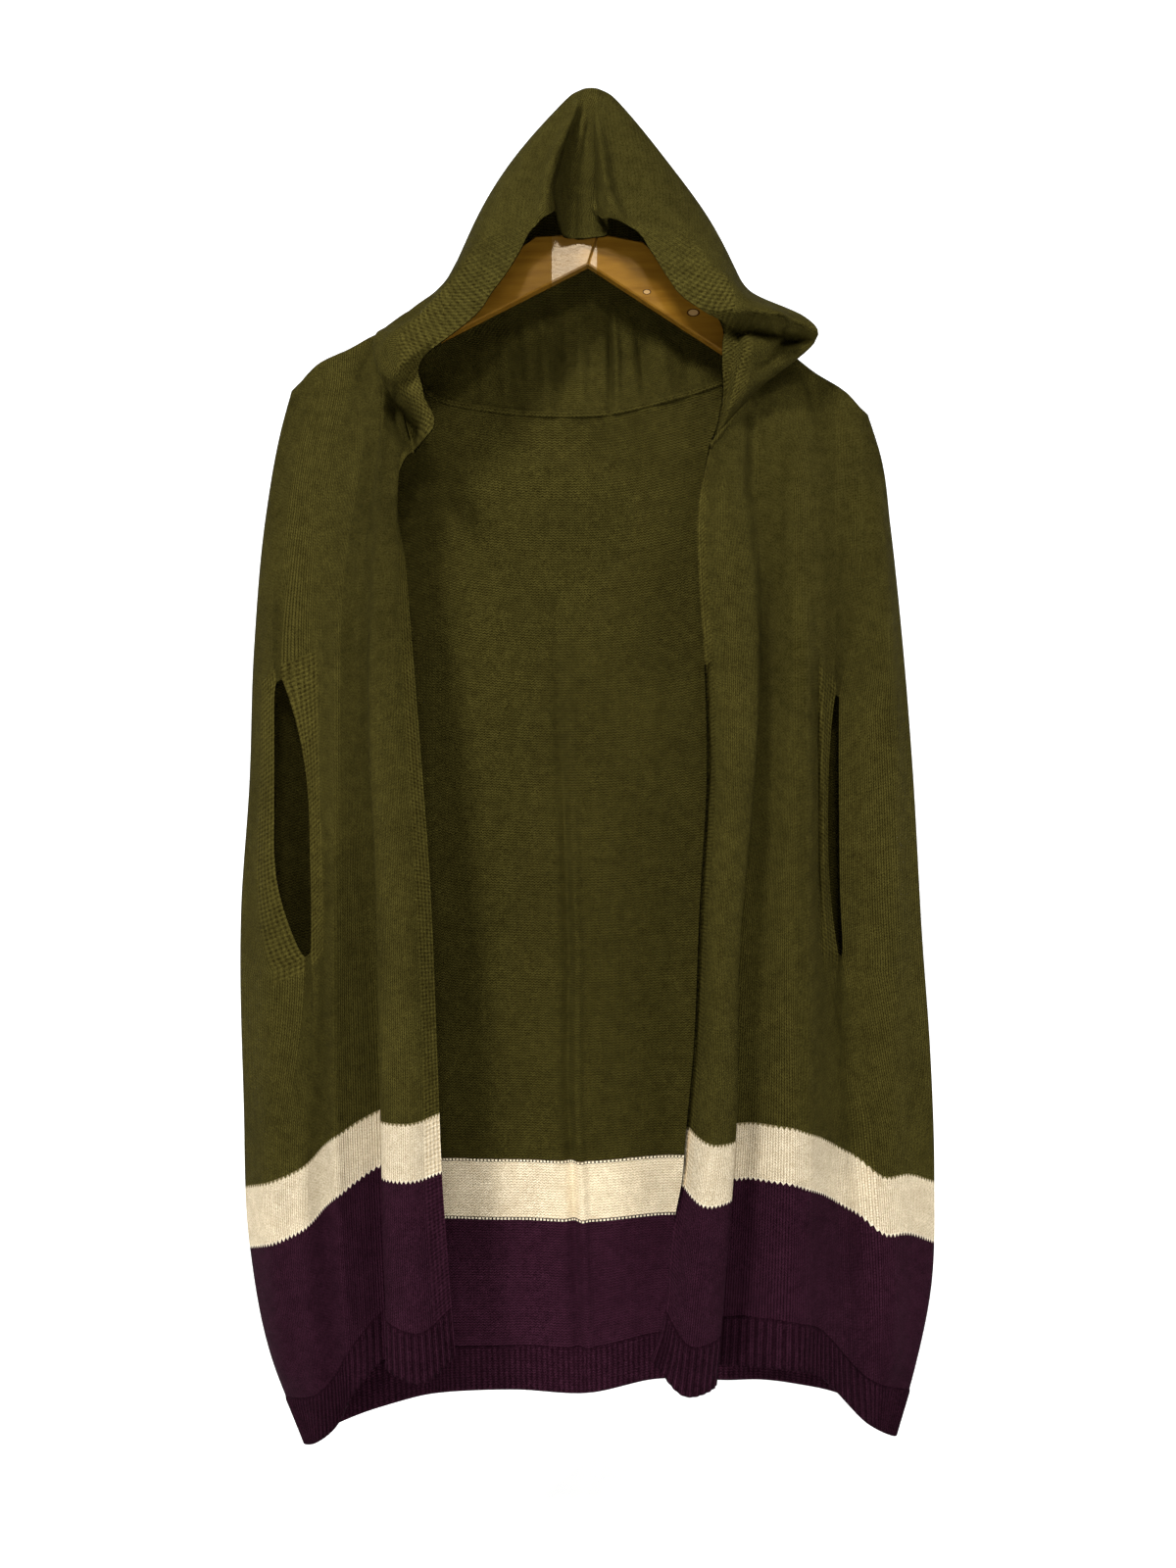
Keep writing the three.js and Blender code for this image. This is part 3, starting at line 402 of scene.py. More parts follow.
def hoodGrids(left, right, rear):
    fine = cloth["fine"]
    shares = np.linspace(hood["ridgeShare"], 1, hood["rows"])
    lower = np.stack([hoodLine(line, shares) for line in hoodLines])
    pleatShare = shares / hood["pleatBottom"]
    before = np.stack([hoodLine(line, pleatShare) for line in pleatLeft])
    after = np.stack([hoodLine(line, pleatShare) for line in pleatRight])
    places = np.tile(fineCells(stations(*hood["cells"])), (len(shares), 1))
    closed = acrossLines(np.concatenate([before, lower, after]), places)
    opened = acrossLines(lower, places - 2)
    ease = smoothStep((shares - hood["pleatBottom"]) / hood["pleatEase"])[:, None, None]
    main = closed + (opened - closed) * ease
    pleatRows = shares <= hood["pleatBottom"] + 1e-6
    strip = np.tile(fineCells([0, 1, 2]), (int(pleatRows.sum()), 1))
    both = np.concatenate([before, lower, after])[:, pleatRows]
    leftPleat, rightPleat = acrossLines(both, strip), acrossLines(both, strip + 14)
    # Round top: the rows from the ridge over the hook to the first course
    half, face, pleat = (hood[key] * fine for key in ("halfCells", "faceCells", "pleatCells"))
    cells = face + pleat
    turns = np.arange(half + 1)
    mirrored = np.where(turns <= face, turns + pleat, half - turns)
    ridgeLeft = ridgePoints(-1, mirrored, cells)
    ridgeMain = np.concatenate([ridgeLeft, ridgePoints(1, mirrored[::-1], cells)[1:]])
    ridgePleatL = ridgePoints(-1, np.arange(pleat + 1), cells)
    ridgePleatR = ridgePoints(1, np.arange(pleat, -1, -1), cells)

    def rounded(top, grid):
        rows = []
        for t in np.linspace(0, 1, hood["roundRows"], endpoint=False):
            row = top + (grid[0] - top) * (1 - math.cos(math.pi * t / 2))
            row[:, 1] = top[:, 1] + (grid[0] - top)[:, 1] * math.sin(math.pi * t / 2)
            rows.append(row)
        return np.concatenate([np.stack(rows), grid])

    # The last row is the neck seam of the body
    shoulder = cloth["shoulderCells"] * fine
    neck = np.concatenate([left[0, :face + 1], rear[0, shoulder + 1:-shoulder - 1], right[0, -face - 1:]])
    ease = smoothStep((shares - 1 + hood["neckEase"]) / hood["neckEase"])[:, None, None]
    main = main + ease * (neck - main[-1])
    main = np.concatenate([main, *(main[-1:] + np.array(step) for step in hood["neckLip"])])
    return rounded(ridgeMain, main), rounded(ridgePleatL, leftPleat), rounded(ridgePleatR, rightPleat)


shares, leftGrid, rightGrid, rearGrid = bodyGrids()
hoodGrid, pleatLeftGrid, pleatRightGrid = hoodGrids(leftGrid, rightGrid, rearGrid)
print("cloth sections ready", leftGrid.shape, rightGrid.shape, rearGrid.shape, hoodGrid.shape)


def gridQuads(rows, columns, keep=None):
    ids = np.arange(rows * columns).reshape(rows, columns)
    quads = np.stack([ids[:-1, :-1], ids[:-1, 1:], ids[1:, 1:], ids[1:, :-1]], axis=-1)
    return quads[keep] if keep is not None else quads.reshape(-1, 4)


def slitKeep(rows, columns, cell):
    # False in the cells between the two borders of an arm slit
    keep = np.ones((rows - 1, columns - 1), bool)
    inSlit = (shares[:-1] >= cloth["slit"][0] - 1e-9) & (shares[:-1] < cloth["slit"][1] - 1e-9)
    keep[np.ix_(inSlit, np.arange(cell * cloth["fine"], (cell + 1) * cloth["fine"]))] = False
    return keep


def sharedNormals(grids, keeps):
    # Normals averaged over every panel, so that seams shade as one cloth
    flat = np.concatenate([grid.reshape(-1, 3) for grid in grids])
    _, ids = np.unique(np.round(flat * 500).astype(int), axis=0, return_inverse=True)
    ids = ids.ravel()
    total = np.zeros((ids.max() + 1, 3))
    start = 0
    for grid, keep in zip(grids, keeps):
        quads = gridQuads(*grid.shape[:2], keep) + start
        corners = flat[quads]
        normal = np.cross(corners[:, 2] - corners[:, 0], corners[:, 3] - corners[:, 1])
        for k in range(4):
            np.add.at(total, ids[quads[:, k]], normal)
        start += grid.shape[0] * grid.shape[1]
    total /= np.maximum(np.linalg.norm(total, axis=1, keepdims=True), 1e-9)
    normals = total[ids]
    parts = []
    start = 0
    for grid in grids:
        count = grid.shape[0] * grid.shape[1]
        parts.append(normals[start:start + count].reshape(grid.shape))
        start += count
    return parts


# Creases listed one by one, seen from the front. Each point of a path holds x and z in mm, how far the
# crease reaches to its sides and how far it comes forward (minus for a trough). A fifth number is a lip's
# drop: cloth on the path's right-hand side hangs forward, and on the other side it lies back by that
# much. A sixth number lowers the cloth.
creaseForm = {"columns": 6, "startDepth": 1, "easeDepth": 6, "lipWidth": 3}
frontCreases = {
    "leftOuterRidge": [(-252, -330, 12, 4), (-252, -520, 14, 6), (-252, -720, 15, 8), (-252, -860, 15, 9),
                       (-244, -1010, 12, 6)],
    "leftOuterHollow": [(-224, -330, 9, -2), (-218, -520, 10, -3), (-216, -720, 9, -3), (-214, -860, 9, -4),
                        (-204, -1010, 9, -5)],
    "leftPlateauEdge": [(-196, -420, 5, 2), (-199, -560, 5, 3), (-200, -720, 5, 4), (-198, -860, 5, 4),
                        (-190, -990, 6, 3)],
    "rightPlateauEdge": [(166, -420, 6, 3), (170, -560, 6, 4), (169, -720, 6, 4), (168, -860, 7, 4),
                         (166, -980, 8, 3)],
    "rightSlitBorder": [(178, -455, 6, 0, 3), (179, -500, 8, 0, 9), (180, -620, 8, 0, 9),
                        (182, -690, 6, 0, 3)],
    "rightEdgeGroove": [(91, -459, 1.9, -7), (93, -534, 1.9, -9), (87, -647, 1.9, -9), (82, -758, 1.8, -9),
                        (77, -811, 1.8, -9), (73, -856, 1.8, -8), (66, -889, 1.7, -4)],
    "rightOuterRidge": [(228, -330, 14, 9), (238, -520, 16, 13), (242, -700, 17, 14), (244, -860, 17, 15),
                        (240, -1010, 14, 10)],
    "rightSag": [(230, -700, 12, 0, 0, 0), (231, -790, 14, 1, 0, 5), (232, -860, 14, 2, 0, 8),
                 (232, -960, 12, 1, 0, 3)],
    "rightHollow": [(140, -400, 9, -3), (138, -520, 10, -4), (130, -700, 10, -5), (124, -860, 10, -6),
                    (118, -980, 9, -4)],
    "rightKnotFold": [(122, -262, 5, -6), (124, -288, 5, -6), (122, -330, 6, -3)],
    "belowRightSlit": [(200, -690, 6, -5), (207, -790, 6, -8), (213, -862, 6, -8), (218, -960, 7, -5)],
}
backCreases = {
    "middleTrough": [(-27, -400, 6, -2), (-26, -480, 6, -4), (-21, -600, 5, -5), (-18, -700, 5, -6),
                     (-19, -800, 5, -6), (-14, -900, 5, -6), (-10, -1010, 5, -5)],
    "middleRidge": [(-20, -400, 4, 1), (-19, -480, 4, 2), (-14, -600, 3, 4), (-11, -700, 3, 5),
                    (-12, -800, 3, 5), (-7, -900, 3, 5), (-3, -1010, 4, 4)],
    "leftSoft": [(-80, -420, 26, 3), (-84, -700, 30, 5), (-78, -1000, 26, 4)],
    "rightSoft": [(56, -420, 26, -3), (66, -700, 30, -6), (72, -1000, 26, -5)],
}
hoodCreases = {
    "gather1": [(-94, -186, 4, 0), (-88, -214, 4, 6), (-84, -244, 5, 1)],
    "gather2": [(-74, -170, 3, 0), (-70, -206, 4, 7), (-68, -250, 4, 1)],
    "gather3": [(-64, -150, 3, 0), (-58, -196, 3, -9), (-56, -250, 4, -1)],
    "gather4": [(-44, -140, 3, 0), (-38, -196, 4, 7), (-35, -252, 4, 1)],
    "gather5": [(-30, -140, 3, 0), (-26, -190, 3, -9), (-24, -252, 4, -1)],
    "gather6": [(-12, -150, 3, 0), (-8, -200, 4, 5), (-6, -250, 4, 1)],
    "backSeamFold": [(12, -140, 2.4, 0), (16, -196, 2.6, -8), (16, -250, 3, -2)],
    "backSeamLit": [(17, -140, 2.4, 0), (21, -196, 2.6, 6), (21, -250, 3, 1)],
    "gather7": [(36, -150, 4, 0), (42, -200, 5, -10), (46, -246, 5, -1)],
    "gather8": [(54, -170, 4, 0), (60, -208, 4, 7), (66, -242, 5, 1)],
    "gather9": [(74, -180, 4, 0), (78, -208, 4, -7), (82, -236, 4, -1)],
}
leftFlareLips = {
    "leftBandEdge": [(-158, -250, 10, 1, 3), (-151, -243, 11, 3, 9), (-141, -231, 11, 3, 9),
                     (-129, -219, 9, 2, 5)],
    "leftHollow": [(-157, -246, 6, -14), (-150, -258, 10, -38), (-144, -271, 11, -44),
                   (-140, -284, 8, -26)],
    "leftShoulderSag": [(-124, -168, 10, 0, 0, 3), (-140, -176, 12, 0, 0, 9), (-158, -186, 12, 0, 0, 6)],
}
rightFlareLips = {
    "rightLip": [(98, -189, 12, 3, 4), (116, -194, 12, 10, 22), (140, -199, 12, 12, 24),
                 (160, -200, 11, 10, 20), (172, -203, 8, 3, 6)],
    "rightBandEdge": [(118, -202, 12, 2, 8), (112, -228, 12, 5, 10), (106, -257, 10, 4, 8),
                      (98, -278, 8, 2, 3)],
}
pleatCreases = {
    "stripHollow": [(-4, -34, 7, -4), (-10, -72, 12, -10), (-11, -114, 13, -8)],
    "leftBrim": [(-16, -30, 5, 4), (-27, -61, 6, 12), (-34, -92, 7, 14), (-37, -112, 7, 10)],
    "rightBrim": [(4, -30, 4, 4), (8, -61, 5, 10), (12, -92, 5, 12), (20, -112, 5, 9)],
    "pleat1": [(-2, -6, 1.6, -2), (-6, -60, 2.2, -4), (-6, -112, 2.4, -4)],
    "pleat2": [(-3, -6, 1.6, 1), (-12, -60, 2.2, 3), (-14, -112, 2.4, 3)],
    "pleat3": [(-3, -6, 1.6, -1), (-17, -60, 2.2, -3), (-20, -112, 2.4, -3)],
    "pleat4": [(-4, -6, 1.6, -2), (-21, -56, 3, -5), (-27, -104, 3.4, -5)],
    "overlap": [(0, -10, 2, -2), (3, -50, 2.4, -7), (6, -90, 2.6, -8), (9, -110, 3, -6)],
}


def alongPath(points, crease):
    # Nearest place on a crease's path: signed distance, and its numbers read there
    path = np.zeros((len(crease), creaseForm["columns"]))
    path[:, :len(crease[0])] = crease
    best = np.full(points.shape[:-1], 1e9)
    signed = np.zeros_like(best)
    place = np.zeros_like(best)
    for k, (a, b) in enumerate(zip(path[:-1, :2], path[1:, :2])):
        d = b - a
        rel = points[..., [0, 2]] - a
        t = np.clip((rel @ d) / (d @ d), 0, 1)
        distance = np.linalg.norm(rel - t[..., None] * d, axis=-1)
        nearer = distance < best
        side = np.sign(d[0] * rel[..., 1] - d[1] * rel[..., 0])
        best = np.where(nearer, distance, best)
        signed = np.where(nearer, distance * side, signed)
        place = np.where(nearer, k + t, place)
    return signed, [np.interp(place, np.arange(len(path)), column) for column in path.T[2:]]


def creased(grid, creases, facing=-1):
    # facing -1 takes the cloth before the hanger's plane, 1 the cloth behind it.
    # No crease takes cloth nearer to that plane than the hanger's arms leave room for.
    moved = grid.copy()
    depth = grid[..., 1] * facing
    near = smoothStep((depth - creaseForm["startDepth"]) / creaseForm["easeDepth"])
    for crease in creases.values():
        signed, (reach, forward, drop, lower) = alongPath(grid, crease)
        fall = np.exp(-(signed / reach) ** 2) * near
        lip = smoothStep(signed / creaseForm["lipWidth"] + 0.5) if drop.any() else 1
        moved[..., 1] -= fall * (forward * lip - drop * (1 - lip))
        moved[..., 2] -= fall * lower
    moved[..., 1] = facing * np.maximum(moved[..., 1] * facing, np.minimum(depth, cloth["clear"]))
    return moved


def relaxedDown(grid):
    # Evens the hood's faces out down each column, above the flares and away from the brim
    rows, columns = grid.shape[:2]
    above = hood["facesEnd"] * rows - np.arange(rows)
    down = np.minimum(np.arange(rows), above)
    across = np.minimum(np.arange(columns), np.arange(columns)[::-1])
    weight = smoothStep(down[:, None] / hood["evenBorder"]) * smoothStep(across / hood["evenBorder"])
    smooth = grid.copy()
    for _ in range(hood["evenRounds"]):
        smooth[1:-1] += weight[1:-1, :, None] * (smooth[:-2] + smooth[2:] - 2 * smooth[1:-1]) / 4
    return smooth


hoodGrid = relaxedDown(hoodGrid)
leftGrid = creased(leftGrid, frontCreases)
rightGrid = creased(rightGrid, frontCreases)
rearGrid = creased(rearGrid, backCreases, 1)
hoodGrid = creased(creased(hoodGrid, hoodCreases, 1), pleatCreases)
pleatLeftGrid, pleatRightGrid = creased(pleatLeftGrid, pleatCreases), creased(pleatRightGrid, pleatCreases)
leftGrid, rightGrid = creased(leftGrid, leftFlareLips), creased(rightGrid, rightFlareLips)
hoodGrid = creased(creased(hoodGrid, leftFlareLips), rightFlareLips)
print("creases placed")

leftKeep = slitKeep(*leftGrid.shape[:2], leftSlit["cell"])
rightKeep = slitKeep(*rightGrid.shape[:2], rightSlit["cell"])
grids = [leftGrid, rightGrid, rearGrid, hoodGrid, pleatLeftGrid, pleatRightGrid]
keeps = [leftKeep, rightKeep, None, None, None, None]
normalGrids = sharedNormals(grids, keeps)


def knitMap(grid):
    # Cloth lengths in metres: across from the first column, down from the first row
    across = np.linalg.norm(np.diff(grid, axis=1), axis=2).mean(axis=0)
    down = np.linalg.norm(np.diff(grid, axis=0), axis=2).mean(axis=1)
    u = np.concatenate([[0], np.cumsum(across)]) * mm
    v = np.concatenate([[0], np.cumsum(down)]) * mm
    return np.stack(np.meshgrid(u, v), axis=-1)


def shell(name, points, normals, uv, quads, materials, marks, relief=None):
    # Closed thin wall: outer face, inner face and the edge that joins them
    half = cloth["thickness"] / 2
    used, local = np.unique(quads, return_inverse=True)
    quads = local.reshape(quads.shape)
    points, normals, uv = points[used], normals[used], uv[used]
    count = len(used)
    raised = relief[used][:, None] if relief is not None else 0
    verts = np.concatenate([points + normals * (half + raised), points - normals * half]) * mm
    edges = np.concatenate([quads[:, [k, (k + 1) % 4]] for k in range(4)]).astype(np.int64)
    forward = edges[:, 0] * count + edges[:, 1]
    border = edges[~np.isin(forward, edges[:, 1] * count + edges[:, 0])]
    walls = np.stack([border[:, 1], border[:, 0], border[:, 0] + count, border[:, 1] + count], axis=-1)
    faces = np.concatenate([quads, quads[:, ::-1] + count, walls])
    mesh = bpy.data.meshes.new(name)
    mesh.vertices.add(len(verts))
    mesh.vertices.foreach_set("co", verts.ravel())
    mesh.loops.add(faces.size)
    mesh.loops.foreach_set("vertex_index", faces.ravel().astype(np.int32))
    mesh.polygons.add(len(faces))
    mesh.polygons.foreach_set("loop_start", np.arange(0, faces.size, 4, dtype=np.int32))
    sides = np.concatenate([np.zeros(len(quads)), np.ones(len(quads)), np.zeros(len(walls))])
    mesh.polygons.foreach_set("material_index", sides.astype(np.int32))
    mesh.polygons.foreach_set("use_smooth", np.ones(len(faces), bool))
    layer = mesh.uv_layers.new(name="knit")
    layer.data.foreach_set("uv", uv[faces.ravel() % count].ravel())
    for mark, values in marks.items():
        attribute = mesh.attributes.new(mark, "FLOAT", "POINT")
        attribute.data.foreach_set("value", np.tile(values[used], 2).astype(np.float32))
    mesh.update(calc_edges=True)
    mesh.validate()
    if relief is None:
        shading = np.concatenate([normals, -normals])
        mesh.normals_split_custom_set_from_vertices(shading.tolist())
    piece = bpy.data.objects.new(name, mesh)
    bpy.context.scene.collection.objects.link(piece)
    for material in materials:
        mesh.materials.append(material)
    return piece


# Yarns

# Each yarn's light colour is the yarn in full light. Its dark colour is painted shade for the grooves between
# stitches, and it also tints the mottling and the joins' dark rows.
yarns = {
    "olive": {"light": (0.074, 0.062, 0.0130), "dark": (0.011, 0.008, 0.0011), "reverse": 0.84},
    "cream": {"light": (0.86, 0.75, 0.55), "dark": (0.38, 0.29, 0.17), "reverse": 1.17},
    "plum": {"light": (0.040, 0.0112, 0.0225), "dark": (0.0055, 0.0010, 0.0026), "reverse": 1.18},
}
stitch = {
    "wale": 0.0030,
    "course": 0.0022,
    "depth": 0.0016,
    "slant": 1.1,
    "strand": (0.22, 0.78),  # swing and middle of each height
    "purl": (0.25, 0.55),
    "moss": (0.15, 0.52),
    "purlCurve": 0.2,
    "legPower": 0.6,
    "heightShare": 1.1,
    "fuzzShare": 1.7,
    "shadeFrom": 0.95,
    "mottleFrom": 0.35,
    "drift": (0.5, 0.75),
    "ribDeep": 0.25,
    "fuzzRelief": 0.5,
    "fuzz": (900, 3),  # scale and detail of each noise
    "mottle": (120, 3),
    "patches": (14, 2),
    "bump": 0.8,
    "roughness": 0.92,
    "specular": 0.02,
}
# Where two yarns meet: heights in courses, and the dots' start across a wale
join = {"toothTall": 1.3, "dotsTall": 1.25, "dotsAt": 0.65, "dotHalf": 0.35, "dotFrom": 0.2}
garter = {
    "edge": 0.014,
    "slit": 0.020,
    "brim": 0.034,
    "beyondSlit": 0.012,
    "fadeZ": -90,
    "fadeTall": 90,
    "pitch": 0.0034,
}
rib = {"pitch": 4.6, "relief": 0.9, "split": 5, "fade": 3, "power": 0.8}


class Nodes:
    def __init__(self, name):
        self.material = bpy.data.materials.new(name)
        self.material.use_nodes = True
        self.tree = self.material.node_tree
        self.shader = self.tree.nodes["Principled BSDF"]

    def add(self, kind, **settings):
        node = self.tree.nodes.new(kind)
        for key, value in settings.items():
            setattr(node, key, value)
        return node

    def put(self, socket, value):
        if isinstance(value, bpy.types.NodeSocket):
            self.tree.links.new(value, socket)
        else:
            socket.default_value = value

    def math(self, operation, *values):
        node = self.add("ShaderNodeMath", operation=operation)
        for socket, value in zip(node.inputs, values):
            self.put(socket, value)
        return node.outputs[0]

    def wave(self, turns):
        return self.math("COSINE", self.math("MULTIPLY", turns, 2 * math.pi))

    def mixColour(self, factor, a, b):
        node = self.add("ShaderNodeMix", data_type="RGBA")
        self.put(node.inputs[0], factor)
        self.put(node.inputs[6], a if isinstance(a, bpy.types.NodeSocket) else (*a, 1))
        self.put(node.inputs[7], b if isinstance(b, bpy.types.NodeSocket) else (*b, 1))
        return node.outputs[2]

    def noise(self, vector, scale, detail):
        node = self.add("ShaderNodeTexNoise")
        self.put(node.inputs["Vector"], vector)
        node.inputs["Scale"].default_value = scale
        node.inputs["Detail"].default_value = detail
        return node.outputs["Fac"]

    def fix(self, values):
        for name, value in values.items():
            self.shader.inputs[name].default_value = value

    def bump(self, height, distance, strength):
        node = self.add("ShaderNodeBump")
        node.inputs["Strength"].default_value = strength
        node.inputs["Distance"].default_value = distance
        self.put(node.inputs["Height"], height)
        self.put(self.shader.inputs["Normal"], node.outputs[0])


def knitHeight(n, u, v, side, purl):
    # Height of the yarn: purl bumps on the reverse, slanted legs on the face. It sets the bump and also the
    # painted shade in the grooves
    if purl:
        curve = n.math("MULTIPLY", n.wave(u), stitch["purlCurve"])
        return n.math("MULTIPLY_ADD", n.wave(n.math("ADD", v, curve)), *stitch["purl"])
    bow = n.math("ABSOLUTE", n.math("MULTIPLY_ADD", side, 4.0, -1.0))
    leg = n.math("SUBTRACT", 1.0, n.math("POWER", bow, 2.0))
    phase = n.math("ADD", v, n.math("MULTIPLY", side, 2 * stitch["slant"]))
    strand = n.math("MULTIPLY_ADD", n.wave(phase), *stitch["strand"])
    return n.math("MULTIPLY", n.math("POWER", n.math("MAXIMUM", leg, 0.0), stitch["legPower"]), strand)


def joinColour(n, colour, yarn, above, side, down, purl):
    # The yarn above bites into the first course: teeth on the face, a dotted row on the reverse
    if not purl:
        tooth = n.math("MULTIPLY_ADD", side, -2 * join["toothTall"], join["toothTall"])
        return n.mixColour(n.math("LESS_THAN", down, tooth), colour, above["light"])
    fromRow = n.math("ABSOLUTE", n.math("SUBTRACT", down, join["dotsAt"]))
    inRow = n.math("LESS_THAN", fromRow, join["dotHalf"])
    dots = n.math("MULTIPLY", n.math("GREATER_THAN", side, join["dotFrom"]), inRow)
    deep, pale = sorted((yarn, above), key=lambda one: sum(one["light"]))
    colour = n.mixColour(n.math("LESS_THAN", down, join["dotsTall"]), colour, deep["dark"])
    return n.mixColour(dots, colour, pale["light"])


def yarnMaterial(name, yarn, purl=False, above=None, joinAt=0.0, ribbed=False):
    n = Nodes(name)
    place = n.add("ShaderNodeTexCoord").outputs["Object"]
    split = n.add("ShaderNodeSeparateXYZ")
    n.put(split.inputs[0], n.add("ShaderNodeUVMap", uv_map="knit").outputs[0])
    u = n.math("DIVIDE", split.outputs[0], stitch["wale"])
    v = n.math("DIVIDE", split.outputs[1], stitch["course"])
    side = n.math("ABSOLUTE", n.math("SUBTRACT", n.math("FRACT", u), 0.5))
    height = knitHeight(n, u, v, side, purl)
    band = n.add("ShaderNodeAttribute", attribute_name="band").outputs["Fac"]
    rows, columns = (n.wave(n.math("DIVIDE", split.outputs[k], garter["pitch"])) for k in (1, 0))
    moss = n.math("MULTIPLY_ADD", n.math("ADD", rows, columns), *stitch["moss"])
    plain = n.math("MULTIPLY", height, n.math("SUBTRACT", 1.0, band))
    height = n.math("ADD", plain, n.math("MULTIPLY", moss, band))
    if ribbed:
        # Painted shade: the rib's sunken columns get a lower height, so their colour darkens as well as their
        # bump
        raised = n.add("ShaderNodeAttribute", attribute_name="raised").outputs["Fac"]
        lit = n.math("MULTIPLY_ADD", raised, 1 - stitch["ribDeep"], stitch["ribDeep"])
        height = n.math("MULTIPLY", height, lit)
    fuzz, mottle, drift = (n.noise(place, *stitch[key]) for key in ("fuzz", "mottle", "patches"))
    # Painted shade: the colour runs from the yarn's dark to its light colour with the yarn's height, so the
    # grooves between legs, courses and garter ridges are painted darker as if shaded. The fuzz noise adds
    # random tone.
    lit = n.math("MULTIPLY", height, stitch["heightShare"])
    shade = n.math("ADD", lit, n.math("MULTIPLY", fuzz, stitch["fuzzShare"]))
    colour = n.mixColour(n.math("SUBTRACT", shade, stitch["shadeFrom"]), yarn["dark"], yarn["light"])
    if above:
        down = n.math("DIVIDE", n.math("SUBTRACT", split.outputs[1], joinAt), stitch["course"])
        colour = joinColour(n, colour, yarn, above, side, down, purl)
    colour = n.mixColour(n.math("SUBTRACT", mottle, stitch["mottleFrom"]), colour, yarn["dark"])
    tone = yarn["reverse"] if purl else 1
    scaled = n.add("ShaderNodeVectorMath", operation="SCALE")
    n.put(scaled.inputs[0], colour)
    n.put(scaled.inputs["Scale"], n.math("MULTIPLY_ADD", drift, *(tone * part for part in stitch["drift"])))
    n.put(n.shader.inputs["Base Color"], scaled.outputs[0])
    n.fix({"Roughness": stitch["roughness"], "Specular IOR Level": stitch["specular"]})
    relief = n.math("ADD", height, n.math("MULTIPLY", fuzz, stitch["fuzzRelief"]))
    n.bump(relief, stitch["depth"], stitch["bump"])
    return n.material


def blockMaterials(block, joinAt):
    yarn = yarns["plum" if block == "rib" else block]
    above = {"cream": yarns["olive"], "plum": yarns["cream"]}.get(block)
    ribbed = block == "rib"
    return [yarnMaterial(f"{block}Face", yarn, False, above, joinAt, ribbed),
            yarnMaterial(f"{block}Reverse", yarn, True, above, joinAt, ribbed)]


def addPiece(piece, node):
    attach(piece, "root")
    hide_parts(node)


def frontBand(uv, slit):
    # 1 in the garter borders along the front edge and the arm slit
    fromSide = slit is rightSlit
    edge = uv[..., 0].max() - uv[..., 0] if fromSide else uv[..., 0]
    band = (edge < garter["edge"]).astype(float)
    cell = slit["cell"] * cloth["fine"]
    top, bottom = cloth["slit"]
    rows = (shares > top - garter["beyondSlit"]) & (shares < bottom + garter["beyondSlit"])
    borders = ((cell, 1), (cell + cloth["fine"], -1))
    for column, side in borders[1:] if fromSide else borders[:1] + borders[1:]:
        gap = (uv[:, column:column + 1, 0] - uv[..., 0]) * side
        band = np.maximum(band, ((gap >= -1e-6) & (gap < garter["slit"]) & rows[:, None]).astype(float))
    return band


def ribRows(grid, normals, uv):
    # The hem's columns split fine enough for its ribs, which fade in below the join
    columns = np.arange(grid.shape[1])
    fine = np.linspace(0, columns[-1], columns[-1] * rib["split"] + 1)

    def split(values):
        return np.stack([[np.interp(fine, columns, part) for part in row.T] for row in values]).swapaxes(1, 2)

    grid, normals, uv = split(grid), split(normals), split(uv)
    normals /= np.linalg.norm(normals, axis=-1, keepdims=True)
    wave = 0.5 + 0.5 * np.cos(2 * math.pi * uv[..., 0] / (rib["pitch"] * mm))
    fade = smoothStep((uv[..., 1] - uv[:1, :, 1]) / (rib["fade"] * mm))
    return grid, normals, uv, wave ** rib["power"] * fade


def addPanel(panel, grid, normals, keep=None, slit=None):
    uv = knitMap(grid)
    band = frontBand(uv, slit) if slit else np.zeros(grid.shape[:2])
    for k, block in enumerate(("olive", "cream", "plum", "rib")):
        first = int(np.argmin(np.abs(shares - cloth["marks"][k])))
        last = int(np.argmin(np.abs(shares - cloth["marks"][k + 1])))
        materials = blockMaterials(block, float(uv[first, 0, 1]))
        span = slice(first, last + 1)
        if block == "rib":
            part, partNormals, partUv, raised = ribRows(grid[span], normals[span], uv[span])
            quads = gridQuads(*part.shape[:2])
            marks = {"band": np.zeros(raised.size), "raised": raised.ravel()}
            relief = raised.ravel() * rib["relief"]
        else:
            part, partNormals, partUv = grid[span], normals[span], uv[span]
            quads = gridQuads(*part.shape[:2], keep[first:last] if keep is not None else None)
            quads = quads.reshape(-1, 4)
            marks = {"band": band[span].ravel()}
            relief = None
        piece = shell(f"{panel}_{block}_knit", part.reshape(-1, 3), partNormals.reshape(-1, 3),
                      partUv.reshape(-1, 2), quads, materials, marks, relief)
        addPiece(piece, f"{panel}_{block}")


addPanel("front_left", leftGrid, normalGrids[0], leftKeep, leftSlit)
addPanel("front_right", rightGrid, normalGrids[1], rightKeep, rightSlit)
addPanel("back", rearGrid, normalGrids[2])


